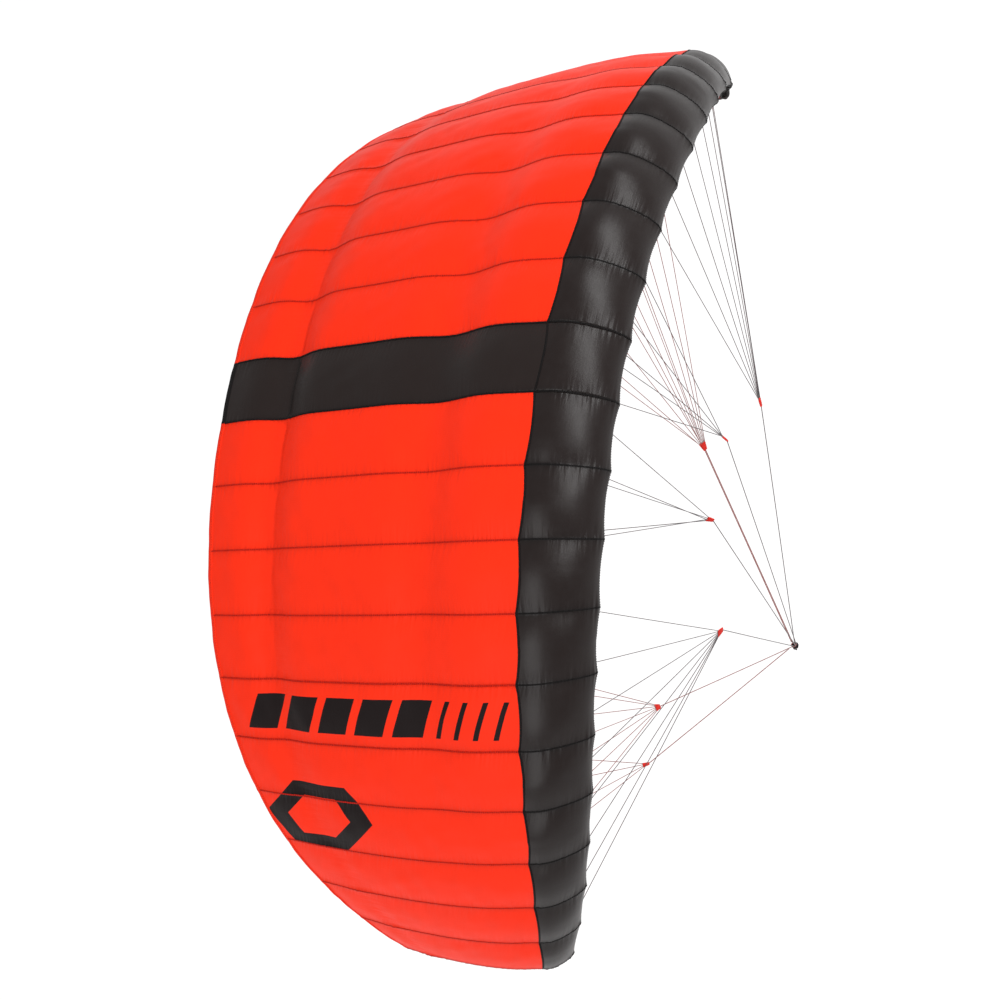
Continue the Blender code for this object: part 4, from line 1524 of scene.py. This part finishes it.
def loop_parts(tie, node, side, rib):
    """(points, faces) of one flat webbing loop that stands on its seam and holds a line's end."""
    down = (node - tie).normalized()
    angle = STATIONS[rib] / ARC_RADIUS
    flat = Vector((side * math.cos(angle), 0, -math.sin(angle)))
    flat = (flat - down * flat.dot(down)).normalized()
    run = down.cross(flat)
    route = []
    for k in range(17):
        a = 2 * math.pi * (k / 16) * 0.86 + math.pi * 0.14
        route.append(tie + down * (0.004 - 0.007 * math.cos(a)) + run * 0.0032 * math.sin(a))
    points, faces = [], []
    for k, centre in enumerate(route):
        inward = (tie + down * 0.004 - centre).normalized()
        for wide, deep in ((-1, -1), (1, -1), (1, 1), (-1, 1)):
            points.append(centre + flat * 0.003 * wide + inward * 0.0005 * deep)
    for k in range(len(route) - 1):
        for m in range(4):
            n = (m + 1) % 4
            faces.append((k * 4 + n, k * 4 + m, (k + 1) * 4 + m, (k + 1) * 4 + n))
    faces.append((0, 1, 2, 3))
    faces.append(tuple(reversed(range(len(points) - 4, len(points)))))
    return points, faces


class KITE_OT_tow_point(bpy.types.Operator):
    """Adds the folded webbing tab, the line ends lashed on it and the pigtail loops"""

    bl_idname = "kite.tow_point"
    bl_label = "Tow point"

    def execute(self, context):
        colours = context.scene.kite_colours
        webbing = tape_material("webbing_weave", colours.webbing)
        self.add_tab(webbing)
        self.add_lashing(line_material("red_sheath", colours.red_line))
        cord = line_material("pigtail_sheath", colours.webbing)
        for word, side in SIDES.items():
            self.add_pigtail(word, side, cord)
        return {"FINISHED"}

    def add_tab(self, webbing):
        """Three layers of webbing with soft edges, and a stub on each side for the pigtails."""
        layers = []
        width, depth, height = TAB_SIZE
        plies = 3
        for k in range(plies):
            low = height * k / plies + 0.0001
            high = height * (k + 1) / plies - 0.0001
            inset = 0.0004 if k == 1 else 0.0
            layers.append(rounded_box(width / 2 - inset, depth / 2 - inset, low, high, 0.0011))
        for side in SIDES.values():
            route = [Vector((side * (width / 2 - 0.001 + 0.0012 * k), 0, 0.005)) for k in range(6)]
            layers.append(tube_parts(route, [0.0015] * 5 + [0.0012], 16))
        tab = joined("tow_tab_webbing", layers, webbing)
        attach(tab, "canopy")
        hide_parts("tow_tab")
        rows = []
        for y in (-0.0055, -0.003, 0.003, 0.0055):
            rows.append([(Vector((x, y, 0.0)), Vector((0, 0, -1))) for x in (-0.004, 0.004)])
        for side in (1, -1):
            for x in (-0.004, 0.0, 0.004):
                face = Vector((0, side, 0))
                rows.append([(Vector((x, side * 0.008, z)), face) for z in (0.0016, 0.0084)])
        thread = thread_material("grey_thread", bpy.context.scene.kite_colours.grey_thread)
        sewn = stitches("tow_tab_stitches", rows, thread, 0.0018, 0.0015, 0.0005)
        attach(sewn, "canopy")

    def add_lashing(self, cord):
        """Turns of cord that bind the line ends down on the tab."""
        turns = 3
        route = []
        for k in range(turns * 24 + 1):
            a = 2 * math.pi * k / 24
            climb = 0.0112 + 0.0019 * k / 24
            route.append(Vector((0.0058 * math.cos(a), 0.0075 * math.sin(a), climb)))
        parts = tube_parts(route, [0.0010] * len(route), 8)
        lashing = joined("tow_lashing", [parts], cord)
        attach(lashing, "canopy")

    def add_pigtail(self, word, side, cord):
        """Loop of cord that swings on its stub, closed by a knot."""
        middle = Vector((side * (TAB_SIZE[0] / 2 + 0.0025), 0, 0.003))
        ring = [middle + Vector((0, 0.005 * math.sin(a), 0.005 * math.cos(a)))
                for a in np.linspace(0, 2 * math.pi, 41)]
        knot = []
        for a in np.linspace(0, 2 * math.pi, 49):
            reach = 0.0011 + 0.0005 * math.cos(3 * a)
            knot.append(middle + Vector((0.0009 * math.sin(3 * a), reach * math.sin(2 * a),
                                         reach * math.cos(2 * a) - 0.0068)))
        parts = [tube_parts(ring, [0.0012] * 41, 12), tube_parts(knot, [0.0008] * 49, 8)]
        loop = joined(f"pigtail_cord_{word}", parts, cord)
        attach(loop, f"pigtail_{word}")
        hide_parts(f"pigtail_loop_{word}")


def rounded_box(half_x, half_y, low, high, radius):
    """(points, faces) of a box with rounded upright corners and softened rims."""
    outline = []
    for quarter in range(4):
        cx = (half_x - radius) * (1 if quarter in (0, 3) else -1)
        cy = (half_y - radius) * (1 if quarter in (0, 1) else -1)
        for k in range(5):
            a = math.pi / 2 * (quarter + k / 4)
            outline.append((cx, cy, math.cos(a), math.sin(a)))
    levels = [(low, -0.0005), (low + 0.0004, 0.0), (high - 0.0004, 0.0), (high, -0.0005)]
    points, faces = [], []
    for z, grow in levels:
        for cx, cy, dx, dy in outline:
            points.append(Vector((cx + (radius + grow) * dx, cy + (radius + grow) * dy, z)))
    count = len(outline)
    for i in range(len(levels) - 1):
        for k in range(count):
            n = (k + 1) % count
            faces.append((i * count + k, i * count + n, (i + 1) * count + n, (i + 1) * count + k))
    faces.append(tuple(reversed(range(count))))
    faces.append(tuple(range((len(levels) - 1) * count, len(levels) * count)))
    return points, faces


# Panel and registration ------------------------------------------------------------------------------

STEPS = (KITE_OT_stage, KITE_OT_bridle, KITE_OT_top_cloth, KITE_OT_nose_band, KITE_OT_belly,
         KITE_OT_inlet_nets, KITE_OT_ribs, KITE_OT_seams, KITE_OT_tie_loops, KITE_OT_tow_point)

GROUPS = {"kite_cloth": KiteCloth, "kite_colours": KiteColours, "kite_marks": KiteMarks,
          "kite_bridle": KiteBridle, "kite_stage": KiteStage}


class KITE_PT_panel(bpy.types.Panel):
    """Lists the kite's settings and the steps that build it"""

    bl_idname = "KITE_PT_panel"
    bl_label = "Foil kite"
    bl_space_type = "VIEW_3D"
    bl_region_type = "UI"
    bl_category = "Kite"

    def draw(self, context):
        for label, group in GROUPS.items():
            box = self.layout.box()
            for name in group.__annotations__:
                box.prop(getattr(context.scene, label), name)
        for step in STEPS:
            self.layout.operator(step.bl_idname)


def register():
    for group in GROUPS.values():
        bpy.utils.register_class(group)
    for label, group in GROUPS.items():
        setattr(bpy.types.Scene, label, bpy.props.PointerProperty(type=group))
    for step in (*STEPS, KITE_PT_panel):
        bpy.utils.register_class(step)


def unregister():
    for step in (KITE_PT_panel, *reversed(STEPS)):
        bpy.utils.unregister_class(step)
    for label, group in GROUPS.items():
        delattr(bpy.types.Scene, label)
        bpy.utils.unregister_class(group)


def main():
    register()
    for step in STEPS:
        area, name = step.bl_idname.split(".")
        getattr(getattr(bpy.ops, area), name)()
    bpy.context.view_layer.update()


if __name__ == "__main__":
    main()
